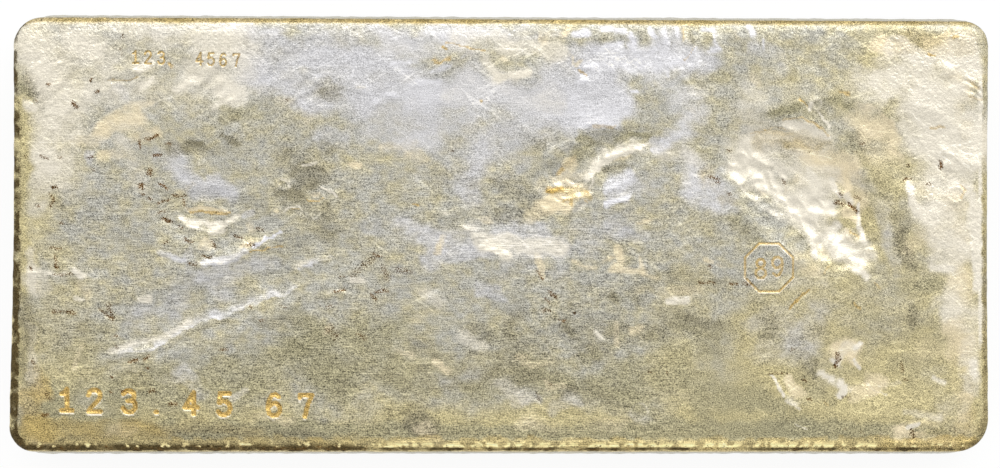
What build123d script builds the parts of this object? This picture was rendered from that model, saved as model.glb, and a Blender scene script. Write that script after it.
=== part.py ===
from build123d import *
import os
from math import cos, radians, sin, sqrt, tan

# A silver bar poured by hand into an open iron mould: one casting of fine silver, of the hundred-ounce class.
# It lies as it is kept, on the free face of the pour, with the face that froze on the mould's floor looking up.
# X runs along the bar, Y across it and Z up. The origin is on the floor, under the middle of the bar.
# Lengths are in millimetres and angles in degrees.

# The block, measured at the fill line, which is the foot of the bar as it lies
bar_length = 181.5
bar_width = 82.5
bar_thickness = 21.65
back_wall_run_in = 0.8  # how far the back wall comes forward towards the right-hand end
left_wall_run_in = 0.9  # how far the left wall comes in towards the back
left_wall_bow = 0.5  # how far the middle of the left wall bows in
right_wall_bow = 0.3  # how far the middle of the right wall bows in
mould_draft = 5.0  # lean of the four walls, so that the casting drops out of the mould

# The corners in plan, at the fill line. The draft makes them smaller higher up.
front_left_radius = 6.4
front_right_radius = 7.7
back_right_radius = 6.4
back_left_radius = 7.2

# The two rims
shoulder_drop = 0.35  # the cast face falls away this much before it meets the walls
shoulder_slope = 6.5  # slope of that fall
floor_rim_radius = 1.7  # where the metal chilled in the corner of the mould's floor
meniscus_radius = 2.4  # where the free face of the pour curls up to the mould's wall

# Patches of the cast face that sank as the metal froze. Each has its centre from the middle of the bar,
# its length, its width, its depth and its turn from the X axis.
right_hollow = {"centre": (55.0, 7.5), "length": 37.0, "width": 21.0, "depth": 1.1, "turn": -44.0}
middle_hollow = {"centre": (18.0, 13.0), "length": 25.0, "width": 10.5, "depth": 0.8, "turn": 22.0}
left_hollow = {"centre": (-51.0, 2.5), "length": 24.0, "width": 12.0, "depth": 0.6, "turn": -8.0}
lap_hollow = {"centre": (-47.0, -10.5), "length": 56.0, "width": 13.0, "depth": 0.5, "turn": 24.0}
corner_hollow = {"centre": (76.0, 15.0), "length": 24.0, "width": 15.0, "depth": 0.5, "turn": -35.0}
front_hollow = {"centre": (70.0, -24.0), "length": 34.0, "width": 17.0, "depth": 0.4, "turn": 12.0}
hollows = [right_hollow, middle_hollow, left_hollow, lap_hollow, corner_hollow, front_hollow]

# The shrinkage sink of the free face, underneath
sink_length = 146.0
sink_width = 54.0
sink_depth = 0.9

# Places worked out from the sizes above
wall_height = bar_thickness - shoulder_drop
wall_lean = wall_height * tan(radians(mould_draft))
shoulder_width = shoulder_drop / tan(radians(shoulder_slope))
half_length = bar_length / 2
half_width = bar_width / 2
front_left = (-half_length, -half_width)
front_right = (half_length, -half_width)
back_right = (half_length, half_width - back_wall_run_in)
back_left = (-half_length + left_wall_run_in, half_width)
middle_left = (-half_length + left_wall_run_in / 2 + left_wall_bow, 0)
middle_right = (half_length - right_wall_bow, -back_wall_run_in / 2)
corner_radii = {
    front_left: front_left_radius,
    front_right: front_right_radius,
    back_right: back_right_radius,
    back_left: back_left_radius,
}

barrel_overrun = 1.1  # the cutting barrel is this much longer than its hollow, so that its ends stand clear
height_slack = 0.01  # how near an edge lies to a height to count as being at it


def sunken_barrel(centre, length, width, depth, turn, height, side):
    """The barrel-shaped body that leaves a shallow lens of the given size in a level face.

    It stands on the outer side of the face, which is 1 for a face that looks up and -1 for one that
    looks down, and dips into the metal by the depth.
    """
    across_radius = ((width / 2) ** 2 + depth**2) / (2 * depth)
    along_radius = ((length / 2) ** 2 + depth**2) / (2 * depth)
    end = barrel_overrun * length / 2
    end_lift = along_radius - depth - sqrt(along_radius**2 - end**2)
    axis_lift = across_radius - depth
    along = Vector(cos(radians(turn)), sin(radians(turn)), 0)
    outward = Vector(0, 0, side)
    upright = Plane(origin=(*centre, height), x_dir=along, z_dir=along.cross(outward))
    with BuildPart() as barrel:
        with BuildSketch(upright):
            with BuildLine():
                belly = ThreePointArc((-end, end_lift), (0, -depth), (end, end_lift))
                Polyline(belly @ 1, (end, axis_lift), (-end, axis_lift), belly @ 0)
            make_face()
        revolve(axis=Axis(upright.from_local_coords((0, axis_lift, 0)), along))
    return barrel.part


hollow_barrels = [sunken_barrel(**hollow, height=bar_thickness, side=1) for hollow in hollows]
sink_barrel = sunken_barrel((0, 0), sink_length, sink_width, sink_depth, 0, height=0, side=-1)

with BuildPart() as silver_bar:
    # The walls, from the fill line up to where the cast face begins to round over
    with BuildSketch() as fill_line:
        with BuildLine():
            Line(front_left, front_right)
            ThreePointArc(front_right, middle_right, back_right)
            Line(back_right, back_left)
            ThreePointArc(back_left, middle_left, front_left)
        make_face()
        for corner, radius in corner_radii.items():
            fillet(fill_line.vertices().sort_by_distance(corner)[0], radius)
    with BuildSketch(Plane.XY.offset(wall_height)) as wall_top:
        add(fill_line.sketch)
        offset(amount=-wall_lean, mode=Mode.REPLACE)
    loft(sections=[fill_line.sketch, wall_top.sketch], ruled=True)

    # The cast face, with its gently falling shoulder
    with BuildSketch(Plane.XY.offset(bar_thickness)) as cast_face:
        add(fill_line.sketch)
        offset(amount=-wall_lean - shoulder_width, mode=Mode.REPLACE)
    loft(sections=[wall_top.sketch, cast_face.sketch], ruled=True)

    # The rim that froze in the mould's corner, and the meniscus round the foot
    floor_rim = silver_bar.edges().filter_by_position(
        Axis.Z, wall_height - height_slack, wall_height + height_slack
    )
    fillet(floor_rim, floor_rim_radius)
    foot_rim = silver_bar.edges().filter_by_position(Axis.Z, -height_slack, height_slack)
    fillet(foot_rim, meniscus_radius)

    # The patches that sank: six in the cast face and one broad one under the bar
    for barrel in hollow_barrels:
        add(barrel, mode=Mode.SUBTRACT)
    add(sink_barrel, mode=Mode.SUBTRACT)

silver_bar.part.label = "silver_bar"
os.makedirs("parts", exist_ok=True)
export_step(silver_bar.part, "parts/silver_bar.step")

silver_density = 10.49e-6  # kilograms in a cubic millimetre of fine silver
print("volume, cubic centimetres:", round(silver_bar.part.volume / 1000, 2))
print("weight, kilograms:", round(silver_bar.part.volume * silver_density, 3))
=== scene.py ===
"""A silver bar of the hundred-ounce class, with the relief, punch marks and tarnish of a hand casting."""

import math
from collections import namedtuple
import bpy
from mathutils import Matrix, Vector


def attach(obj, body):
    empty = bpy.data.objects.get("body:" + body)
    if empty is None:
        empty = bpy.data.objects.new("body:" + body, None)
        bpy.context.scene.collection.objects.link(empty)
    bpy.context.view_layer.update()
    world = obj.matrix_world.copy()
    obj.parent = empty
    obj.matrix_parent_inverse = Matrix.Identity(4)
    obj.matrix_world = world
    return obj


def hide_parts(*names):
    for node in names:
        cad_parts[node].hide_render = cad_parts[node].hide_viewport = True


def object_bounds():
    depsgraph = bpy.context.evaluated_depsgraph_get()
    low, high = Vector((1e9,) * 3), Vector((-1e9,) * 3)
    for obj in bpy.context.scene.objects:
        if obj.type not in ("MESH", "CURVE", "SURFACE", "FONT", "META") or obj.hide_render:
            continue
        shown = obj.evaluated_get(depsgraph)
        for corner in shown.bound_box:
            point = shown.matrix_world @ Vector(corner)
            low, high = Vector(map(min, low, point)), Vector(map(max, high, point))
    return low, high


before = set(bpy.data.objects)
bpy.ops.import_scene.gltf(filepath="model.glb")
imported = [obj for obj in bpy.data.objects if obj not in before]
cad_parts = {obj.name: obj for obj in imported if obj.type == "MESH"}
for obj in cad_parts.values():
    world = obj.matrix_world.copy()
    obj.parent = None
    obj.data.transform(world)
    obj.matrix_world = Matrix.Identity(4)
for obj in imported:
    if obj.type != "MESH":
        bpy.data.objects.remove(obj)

from types import SimpleNamespace

import bpy
import numpy as np
from bpy.props import FloatProperty, FloatVectorProperty, PointerProperty
from mathutils import noise

bl_info = {
    "name": "Cast silver bar",
    "version": (1, 0, 0),
    "blender": (4, 5, 0),
    "location": "View3D > Sidebar > Silver Bar",
    "description": "Dresses a cast silver bar with its relief, its punch marks and its tarnish",
    "category": "Add Mesh",
}

MM = 0.001
CAST_NODE = "silver_bar"
CAST_BODY = "root"
CAD_LOW, CAD_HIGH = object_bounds()
BAR_TOP = CAD_HIGH[2]

# The picture's frame, and what it shows of the bar
PICTURE_WIDTH = 1000
FACE_SCALE = 5.53  # pixels to a millimetre on the cast face
BAR_CENTRE_PIXEL = (498.3, 234.3)
PICTURE_CENTRE_PIXEL = (500.0, 234.0)
SENSOR_WIDTH = 36.0


def linear(hex_colour):
    """The linear RGBA of an sRGB hex colour."""
    parts = [int(hex_colour[place : place + 2], 16) / 255 for place in (1, 3, 5)]
    return tuple(c / 12.92 if c <= 0.04045 else ((c + 0.055) / 1.055) ** 2.4 for c in parts) + (1.0,)


def colour_property(name, description, hex_colour):
    """A colour that the user can change, given as sRGB hex."""
    return FloatVectorProperty(
        name=name, description=description, subtype="COLOR", size=4, min=0, max=1, default=linear(hex_colour)
    )


def length_property(name, description, millimetres):
    """A length that the user can change, given in millimetres."""
    return FloatProperty(
        name=name, description=description, unit="LENGTH", precision=5, min=0, default=millimetres * MM
    )


class BarSizes(bpy.types.PropertyGroup):
    """Sizes of the block and of its relief."""

    cell: length_property("Cell", "Width of a mesh cell on the cast face", 0.56)
    fill_length: length_property("Fill length", "Length at the sharp fill line", 181.5)
    fill_width: length_property("Fill width", "Width at the sharp fill line", 82.5)
    front_left: length_property("Front left corner", "Plan radius at the fill line", 6.4)
    front_right: length_property("Front right corner", "Plan radius at the fill line", 7.7)
    back_right: length_property("Back right corner", "Plan radius at the fill line", 6.4)
    back_left: length_property("Back left corner", "Plan radius at the fill line", 7.2)
    shoulder_drop: length_property("Shoulder drop", "How far the cast face falls before the rim", 0.35)
    rim: length_property("Rim", "Radius of the rim that froze in the corner of the mould", 1.7)
    meniscus: length_property("Meniscus", "Radius of the curl round the foot", 2.4)
    back_run_in: length_property("Back run-in", "How far the back wall comes forward to the right", 0.8)
    left_run_in: length_property("Left run-in", "How far the left wall comes in to the back", 0.9)
    left_bow: length_property("Left bow", "How far the middle of the left wall bows in", 0.5)
    right_bow: length_property("Right bow", "How far the middle of the right wall bows in", 0.3)
    draft: FloatProperty(
        name="Draft", description="Lean of the walls", subtype="ANGLE", default=math.radians(5)
    )
    shoulder_slope: FloatProperty(
        name="Shoulder slope", description="Slope of the shoulder", subtype="ANGLE", default=math.radians(6.5)
    )
    relief: FloatProperty(name="Relief", description="Strength of all the relief", min=0, max=2, default=1)


class SilverFinish(bpy.types.PropertyGroup):
    """Colours of the metal and of what lies on it, and of the highlights, shade and glints that are painted on
    it.
    """

    silver: colour_property("Silver", "Dull silver of the cast face", "#AEACA2")
    cool: colour_property("Cool", "Metal that was rubbed clean, which mirrors the sky", "#C5C4C6")
    warm: colour_property("Warm", "Thin yellow tarnish", "#BAAF86")
    # Olive: tarnish, and also painted shade in the lee of the folds and on the brows, which face the front
    olive_and_shade: colour_property("Olive", "Thicker tarnish in the lee of the folds", "#9D977A")
    # Shade: grey-brown tarnish, and also painted shade under the laps and on walls that face the front
    shade: colour_property("Shade", "Grey-brown tarnish", "#827C67")
    # Cream: pale frosted silver, and also painted highlights on ridges, burrs and slopes that face the back
    cream_and_highlight: colour_property("Cream", "White frosted silver", "#DFD8C8")
    # Frost: bare frosted silver, and mostly the brightest painted highlights
    frost_and_highlight: colour_property("Frost", "Bare frosted silver, which is brightest", "#D6D5D8")
    tan: colour_property("Tan", "Dry yellow-brown tarnish", "#E4D5B4")
    amber: colour_property("Amber", "Old yellow-brown tarnish of the rims", "#B09C66")
    ochre: colour_property("Ochre", "Golden tarnish in cuts and pits", "#BC9F60")
    rust: colour_property("Rust", "Brown specks of dirt", "#6A4B24")
    # Gilt: a golden tint with a painted glint, in the strip above the front rim
    gilt_and_glint: colour_property("Gilt", "Golden sheen of the front rim", "#FFEDB0")
    # Soot: dark lines along the rims, partly dirt, and painted shade along the front rim and inside the back
    # one
    soot_and_shade: colour_property("Soot", "Brown dirt along the mould's edge", "#52462D")


class StageSettings(bpy.types.PropertyGroup):
    """Camera, lamps and floor."""

    camera_height: length_property("Camera height", "How far the camera stands above the cast face", 620)
    sky: FloatProperty(name="Sky", description="Strength of the light from all round", min=0, default=0.9)
    key: FloatProperty(
        name="Key", description="Power of the big soft lamp behind the bar", unit="POWER", min=0, default=3.8
    )
    fill: FloatProperty(
        name="Fill", description="Power of the low lamp in front of the bar", unit="POWER", min=0, default=1.5
    )
    floor: colour_property("Floor", "Pale floor", "#F4F4F2")


# The places below are in millimetres from the middle of the bar: X to the right, Y to the back.

# Laps, where one skin of metal ran over another: the finish of the steep side, which is on the left of the
# path, the rise, the widths of the steep and of the gentle side, and the path. The finish is painted light:
# a highlight on steep sides that face the back, and shade in olive on the brows, whose steep sides face the
# front.
Lap = namedtuple("Lap", "finish rise steep gentle path")
BROW = (
    (27.8, 17.6), (25, 18.2), (22.3, 18.5), (21.2, 19.3), (19.1, 19.8), (16.5, 19.4), (14.4, 17.8), (14.2, 16),
    (13.3, 14.6), (11.8, 12.7), (10, 10.6),
)
LAPS = {
    "middle crest": Lap(
        "cream_and_highlight", 0.62, 1.7, 4, ((16.4, 8.2), (17.1, 10.2), (17.5, 11.5), (18.5, 12.6), (20.2, 13.7),
        (22.3, 14.7), (25, 15.6), (27.4, 16.4)),
    ),
    "middle brow": Lap("olive_and_shade", 0.22, 2.4, 6, BROW),
    "middle brow edge": Lap("olive_and_shade", 0.12, 0.45, 2.5, BROW),
    "middle basin": Lap("cool", 0.3, 1.6, 3, ((18.4, 4.8), (20.5, 5.2), (22.9, 5.9), (24.5, 6.6))),
    "pit wedge": Lap("ochre", 0.3, 0.7, 1.5, ((11.8, 8.6), (10, 8.2), (8.4, 7.7))),
    "long lap": Lap(
        "frost_and_highlight", 0.27, 1.5, 4, ((-72.4, -24), (-70.3, -22.3), (-67.4, -21.4), (-63, -21.1),
        (-61.6, -20.7), (-59.8, -19.6), (-57.2, -17.5), (-54, -15.8), (-52.9, -16), (-49.3, -14.9),
        (-45.3, -13.5), (-42.8, -12), (-39.2, -11.3), (-35.5, -9.3), (-31.6, -9)),
    ),
    "upper ridge": Lap(
        "cream_and_highlight", 0.3, 0.7, 1.8, ((-56.5, -5.3), (-53.1, -5.5), (-50, -5.2), (-47.5, -3.9), (-44.9, -2.3),
        (-41.7, -0.3)),
    ),
    "broken ridge": Lap("cream_and_highlight", 0.24, 0.7, 1.6, ((-37.7, -6.6), (-35.4, -5.7), (-33.2, -5), (-30.8, -3.9))),
    "little lap": Lap("cream_and_highlight", 0.2, 0.5, 1.2, ((-31.2, -10.8), (-29, -10.2), (-27.8, -10))),
    "left step": Lap(
        "cream_and_highlight", 0.18, 0.5, 1.6, ((-87.1, -6.4), (-85.8, -7.3), (-83.3, -7), (-80.7, -7.1), (-77.1, -7.3)),
    ),
    "left step tail": Lap("cream_and_highlight", 0.18, 0.5, 1.2, ((-77.5, -5.9), (-76, -6.8), (-73.9, -8.4))),
    "left crest": Lap(
        "cream_and_highlight", 0.36, 1.3, 2, ((-59, 4.1), (-58.1, 2.6), (-56.5, 1.5), (-54.3, 0.6), (-51.4, 0.6),
        (-48.9, 1.4), (-46.7, 2.8), (-46.6, 3.9)),
    ),
    "left brow": Lap(
        "tan", 0.25, 0.8, 2, ((-46.7, 4.2), (-49.3, 3.9), (-51.3, 4.8), (-54, 5), (-56.3, 4.8), (-57.4, 3.9)),
    ),
    "centre ridge": Lap("cream_and_highlight", 0.25, 1.2, 2, ((-6.6, 1.4), (-5.2, 0.8), (-3.7, 0.1), (-2.1, -1))),
    "centre step": Lap("cream_and_highlight", 0.32, 1.6, 2.5, ((-3.3, -2.6), (-1.5, -3), (0.3, -3.9), (2.4, -4.2))),
    "centre thread": Lap("cream_and_highlight", 0.16, 0.5, 1, ((-11.3, 3.9), (-9.1, 3.5), (-6.6, 4.1), (-5.2, 4.8))),
    "right crest": Lap(
        "cream_and_highlight", 0.2, 2.5, 4, ((42, 13.5), (43.3, 9.5), (45.8, 6.2), (49.1, 4.1), (52.7, 2.3), (55.6, -1),
        (57.8, -4.2), (59.9, -5.7)),
    ),
    "right brow": Lap(
        "olive_and_shade", 0.26, 3.2, 5, ((62.7, 24.5), (57.2, 24.1), (51.8, 22.9), (48.2, 21.1), (45.1, 18.5)),
    ),
    "far right brow": Lap(
        "tan", 0.26, 3.2, 5, ((73.7, 10.8), (73.1, 17.1), (71.3, 21.1), (67.2, 23.4), (62.7, 24.5)),
    ),
    "right brow edge": Lap(
        "olive_and_shade", 0.12, 0.45, 2.5, ((73.5, 12.6), (73.1, 17.1), (71.3, 21.1), (67.2, 23.4), (62.7, 24.5),
        (57.2, 24.1), (51.8, 22.9), (48.2, 21.1), (45.1, 18.5)),
    ),
    "upper scar": Lap(
        "tan", 0.16, 0.4, 1.5, ((61, 16.7), (58.1, 19.4), (55.6, 20.7), (52.7, 21.1), (50.9, 20.5)),
    ),
    "lower scar": Lap(
        "tan", 0.16, 0.4, 1.5, ((54.5, 17.5), (52.4, 18.9), (50.2, 19.6), (48, 18.9), (45.5, 18)),
    ),
    "upper scar foot": Lap("cream_and_highlight", 0.15, 1.2, 0.7, ((52.4, 18.9), (55.1, 17.8), (58.1, 17.1), (61, 16.5))),
    "lower scar foot": Lap("cream_and_highlight", 0.15, 1.2, 0.7, ((45.8, 17.5), (49.1, 17.1), (52.4, 16.7), (54.9, 17.3))),
    "corner fold": Lap(
        "cream_and_highlight", 0.36, 2.2, 1.2, ((79.1, 16.5), (80.9, 14.9), (83.1, 13.1), (85.3, 12.2), (87.8, 12.6)),
    ),
    "right step": Lap(
        "cream_and_highlight", 0.22, 1.2, 2, ((74.1, 9.5), (74.8, 6.2), (75.9, 3.7), (77.7, 1.2), (80.7, 0.5)),
    ),
    "cloud": Lap("cream_and_highlight", 0.25, 1.2, 2, ((60.3, -1.7), (62.1, -3.2), (64.6, -5), (66.8, -6.8))),
    "upper left fold": Lap(
        "cream_and_highlight", 0.22, 0.8, 1.8, ((-79.7, 20.7), (-78.2, 22.3), (-76.6, 23.8), (-74.2, 25.2)),
    ),
    "upper left lens": Lap(
        "cream_and_highlight", 0.22, 0.8, 1.6, ((-71.5, 27.4), (-69.9, 28.7), (-67.7, 29.4), (-65.9, 29.6),
        (-63.7, 30.3), (-61.9, 31.2)),
    ),
    "upper left thread": Lap("cream_and_highlight", 0.14, 0.5, 1.2, ((-64.8, 25.8), (-63, 27.2))),
    "second thread": Lap("cream_and_highlight", 0.14, 0.5, 1.2, ((-58.3, 25.8), (-54.3, 28.3))),
    "third thread": Lap("cream_and_highlight", 0.14, 0.5, 1.2, ((-51.4, 22.5), (-48.2, 24.7))),
    "smooth edge": Lap(
        "cool", 0.12, 1, 3, ((21.2, 20.3), (22.9, 23.4), (26.5, 25.8), (31, 28.7), (34.6, 30.1),
        (39.2, 31.2)),
    ),
    "upper lens": Lap("cream_and_highlight", 0.15, 0.5, 1.2, ((-33.7, 28.1), (-32.3, 27.8), (-31.2, 26.7), (-30.7, 25.6))),
    "upper thread": Lap(
        "cream_and_highlight", 0.15, 0.5, 1.2, ((-27.2, 28.7), (-26.5, 27.6), (-24.9, 26.5), (-22.3, 25.4)),
    ),
    "foot fold": Lap("cream_and_highlight", 0.18, 1, 2, ((49.8, -26.3), (50.9, -28.5), (52.7, -30.3), (54.5, -32.1))),
    "foot step": Lap("cream_and_highlight", 0.16, 0.8, 2, ((63.2, -23.1), (64.6, -21.2), (66.1, -19.8))),
    "low step": Lap("cream_and_highlight", 0.14, 1, 2, ((60.8, -27), (62.8, -28.1), (65, -29), (67.5, -30.3))),
    "brow rise": Lap(
        "cool", 0.2, 1, 2.2, ((-1.2, 30.5), (-2.6, 32.3), (-5.2, 33.4), (-7.9, 31.9), (-10.6, 29.7),
        (-12.7, 28.7)),
    ),
    "tongue": Lap("cool", 0.16, 1.4, 3, ((0.3, 28.7), (5.3, 28.7), (8.4, 29.4))),
    "small tongue": Lap(
        "cool", 0.12, 0.8, 2, ((1.7, 23.6), (3.2, 20.3), (5, 18.2), (6.8, 19.3), (8.4, 22.2)),
    ),
}

# Dents: the place, the length, the width, the turn from the X axis in degrees, and the depth, which is
# negative for a blister
DENTS = (
    (43.7, 11.7, 4.3, 2.5, -60, 0.22), (48.6, 9.5, 3.6, 1.6, -80, 0.2), (51.4, 8.2, 4.7, 2.2, -75, 0.28),
    (52, 10.8, 2.2, 1.3, -80, 0.14), (53.8, 5.3, 2.9, 2.2, -30, 0.15), (58.5, 5.3, 7.2, 3.3, -10, 0.25),
    (56.7, 1.2, 4.3, 2.2, -55, 0.3), (61.4, 0.8, 4.3, 4, -45, 0.32), (66.1, 1.5, 7.2, 1.6, -75, 0.28),
    (58.1, -2.8, 4.3, 2.2, -75, 0.28), (64.3, -4.2, 8, 4.7, -35, 0.28), (62.1, 9.3, 4.5, 4, 0, 0.2),
    (63.2, 3.5, 3.6, 1.8, 0, 0.12), (48.2, 15.3, 4.7, 2.5, -20, 0.1), (81.5, 12.4, 2.5, 2.4, 0, -0.28),
    (80.9, 29.7, 4.2, 3.8, 0, -0.28), (10.8, 38.2, 2.7, 1.6, 0, 0.3), (63.6, 37.9, 4.7, 1.8, 0, 0.25),
    (8, 34.8, 1.6, 1.6, 0, 0.12), (1.2, 32.1, 1.6, 1.1, 0, 0.1), (16.7, 30.3, 3.1, 1.8, 0, -0.16),
    (15.5, 27.6, 2.4, 1.6, 0, -0.14), (15.3, 29, 1.1, 0.9, 0, 0.14), (-27.8, 36.6, 2.9, 1.3, 70, -0.14),
    (-25.6, 35.5, 2.5, 1.1, 60, -0.12), (-18.7, 35.2, 2, 1.6, 0, -0.12), (-15.1, 35.5, 1.8, 1.6, 0, -0.12),
    (-12.2, 35.9, 1.6, 1.4, 0, -0.1), (-19.4, 25.2, 2.5, 1.4, 0, -0.14), (-21.6, 24, 1.6, 1.1, 0, -0.1),
    (-14.4, 27.4, 2.9, 1.3, 0, -0.1), (-42.6, 25.8, 1.4, 1.1, 20, -0.1), (-68.4, 13.5, 1.1, 1.1, 0, -0.07),
    (-63.9, -19.6, 2, 1.4, 70, 0.14), (-52.9, -16, 1.6, 1.1, 0, -0.1), (-54.5, -1.9, 4.3, 3.6, 0, -0.1),
    (70.4, -26.3, 2.7, 2.7, 0, 0.14), (69.7, -28.5, 2.4, 2, 0, 0.12), (82.9, 7, 3.6, 3.3, 0, -0.1),
    (78.9, 3.7, 2.9, 1.4, -30, -0.12), (-29, -8.8, 1.8, 1.1, 20, -0.12), (-29.9, 35.9, 2.2, 1.1, 60, -0.08),
    (29.2, 35.5, 4, 1.6, 90, -0.12), (26.3, 34.8, 4.3, 1.1, 90, 0.1), (34.4, 35.2, 4.7, 1.6, 95, -0.1),
    (31.4, 33, 4, 1.3, 70, 0.08), (39.2, 34.8, 4, 2.2, 90, -0.12), (36.8, 33, 3.3, 1.1, 80, 0.08),
    (22.7, 35.9, 2.5, 1.6, 0, -0.1), (50.9, 36.4, 2.2, 0.9, 90, -0.1), (48, 34.4, 2.2, 0.9, 90, -0.1),
    (68.4, 37, 2, 1.1, 80, -0.1), (65.6, 37.2, 1.8, 1.1, 80, -0.08), (76.9, 36.8, 1.8, 1.3, 70, -0.08),
    (56.9, 35.5, 3.6, 0.9, 90, -0.07), (52.7, 27.9, 2.9, 2.2, 0, 0.08), (62.1, 27.9, 2.5, 3.3, 30, 0.1),
    (56.7, 28.8, 2.5, 1.8, 0, 0.06), (36.4, 25.8, 2.9, 1.8, 0, 0.06), (42.8, 26.5, 2.5, 1.8, 0, 0.07),
    (-79.3, 18, 3.3, 2.2, 30, 0.08), (-83.8, 24.3, 3.6, 2.5, 0, 0.08), (-85.4, 23.2, 1.8, 1.6, 0, -0.12),
    (-85.8, 31.6, 2.5, 1.8, 80, -0.06), (-78.9, 36.6, 3.3, 2.2, 0, 0.07), (-72.1, 35.2, 4, 2.5, 30, 0.07),
    (-66.6, 26.1, 4.7, 2.2, -10, 0.1), (-62.1, 24.7, 2.5, 1.6, 0, 0.07), (-10.6, -11.8, 3.6, 2.5, 30, -0.06),
    (-15.1, 4.1, 1.4, 1.1, 0, -0.08), (25.6, 1.9, 2.5, 1.4, 0, 0.1), (-12.4, -20, 4.3, 2.2, 20, 0.08),
    (3.2, -15.5, 2.5, 1.4, 0, 0.06), (12.9, -29, 3.3, 1.8, 10, 0.08), (-27.8, -23.1, 3.3, 2.2, 0, 0.06),
    (-81.1, -35, 4.7, 2.5, 0, 0.08), (-47.6, 16, 2.9, 1.4, -30, 0.08), (-55.1, 16.7, 2.5, 1.3, 0, 0.08),
    (5.3, 17.1, 2.5, 1.6, 0, 0.07), (73.5, -11.8, 4.7, 3.3, 0, 0.06), (78.9, -10.4, 3.6, 1.8, 0, 0.08),
    (85.3, 24.3, 3.3, 2.2, 60, -0.08), (69, 33.7, 2.9, 2.2, 0, -0.06), (73.5, 26.1, 2.9, 1.3, -60, -0.1),
    (74.8, 26.5, 1.8, 0.9, -60, 0.1),
)

# Rings that burst bubbles left: the place, the radius and the height
RINGS = (
    (82.9, 7.1, 1.45, 0.12), (-38.8, 9.1, 0.99, 0.08), (-31.9, 6.8, 0.54, 0.07), (-35.4, 3.5, 0.51, 0.08),
    (-33.2, 3.7, 0.81, 0.08), (-40.2, 4.2, 0.81, 0.07), (25.4, -32.1, 1.54, 0.07), (65.9, 16.4, 0.45, 0.06),
    (57.6, 23.4, 0.9, 0.12), (-54, 13.1, 0.63, 0.08), (62.8, 16.7, 0.54, 0.05), (-54, 4.1, 0.54, 0.06),
    (-59.8, 5.3, 0.72, 0.05), (-70.6, 4.4, 1.08, 0.03),
)

# Creases: the depth, which is negative for a thread that stands up, the width, and the path
CREASES = (
    (0.11, 0.3, (10.4, 9.5), (12.2, 10.2), (13.8, 9.3)),
    (0.11, 0.3, (11.1, 8.4), (13.3, 8.2), (15.8, 9.7)),
    (0.1, 0.3, (12.2, 6.8), (14.4, 7.5), (16.5, 7.9)),
    (0.1, 0.3, (10.4, 6.6), (12.2, 5.5), (13.7, 6.2)),
    (-0.08, 0.3, (10.4, 9), (12.2, 7.7), (14.7, 8.8)),
    (-0.08, 0.3, (13.7, 5), (15.8, 6.1), (16.9, 7.7)),
    (-0.07, 0.3, (11.5, 6.2), (13.8, 6.8), (16.2, 7)),
    (0.1, 0.3, (13.7, 3.7), (15.5, 5.5)),
    (-0.08, 0.3, (12.2, 3.7), (14, 5.3)),
    (0.16, 0.25, (-30.5, -10.4), (-29, -9.9), (-27.6, -10.2)),
    (0.12, 0.3, (-70.8, 27.6), (-68.8, 27.9), (-66.8, 27.6), (-65, 28.7)),
    (0.12, 0.35, (0.8, -22.9), (2.3, -24), (4.1, -25.9), (5.5, -28.1), (7.9, -30.7)),
    (0.1, 0.3, (7.5, -29.6), (9.1, -32.1)),
    (-0.07, 0.3, (84.9, 28.5), (86.3, 27.8), (87.8, 26.1)),
    (-0.07, 0.3, (84.5, 27.2), (86.3, 26.5), (87.8, 24.9)),
    (-0.06, 0.3, (84.2, 25.8), (86.3, 25), (87.8, 23.6)),
    (0.06, 0.3, (84.5, 27.9), (86.3, 27.2), (87.8, 25.6)),
    (0.06, 0.3, (84.4, 26.5), (86.3, 25.8), (87.8, 24.3)),
    (0.1, 0.3, (52.9, -13.7), (54.5, -11.5), (56.7, -9.9)),
    (0.1, 0.3, (-56.9, 6.2), (-56.5, 5), (-55.4, 3.9)),
    (0.1, 0.3, (-51.8, -0.6), (-51.4, -2.4)),
    (0.1, 0.3, (-60.8, 2.8), (-59, 1.7), (-57.2, 1.2)),
    (0.1, 0.3, (-53.6, -3.7), (-52.5, -4.4), (-51.6, -3.7)),
    (0.1, 0.25, (-45.7, -1.4), (-43.9, -2.3), (-42.4, -2.8)),
    (0.1, 0.3, (54.5, 24.7), (56.1, 23.1), (57.1, 22.2)),
    (0.1, 0.3, (49.1, 12), (50.2, 8.8)),
    (0.1, 0.4, (67.5, -7.1), (70.1, -7.9), (72.6, -7.5)),
    (0.12, 0.4, (62.1, 6.2), (63.9, 5.2), (65.4, 3.7)),
    (-0.1, 0.3, (25.6, 1.2), (27, 1.7), (28.5, 0.8)),
    (-0.08, 0.3, (22.7, -0.3), (24.5, 1), (25.8, 1.4)),
    (0.1, 0.3, (9.3, 10.8), (10.4, 10.6)),
    (-0.1, 0.3, (-32.3, 8.6), (-30.5, 7.9), (-29, 7)),
    (-0.08, 0.3, (-83.6, -20), (-84.4, -23.1)),
    (0.08, 0.3, (-82.5, -0.1), (-83.1, -3.7)),
    (0.1, 0.3, (-72.4, -13.3), (-71, -14.7), (-69.5, -15.1)),
    (0.08, 0.35, (11.1, -15.6), (12.6, -15.6)),
    (-0.07, 0.3, (-19.6, -20.3), (-17.1, -21.2), (-14.6, -22.7)),
    (-0.06, 0.3, (-8.8, -17.3), (-6.6, -18.7), (-4.4, -19.4)),
)
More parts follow.
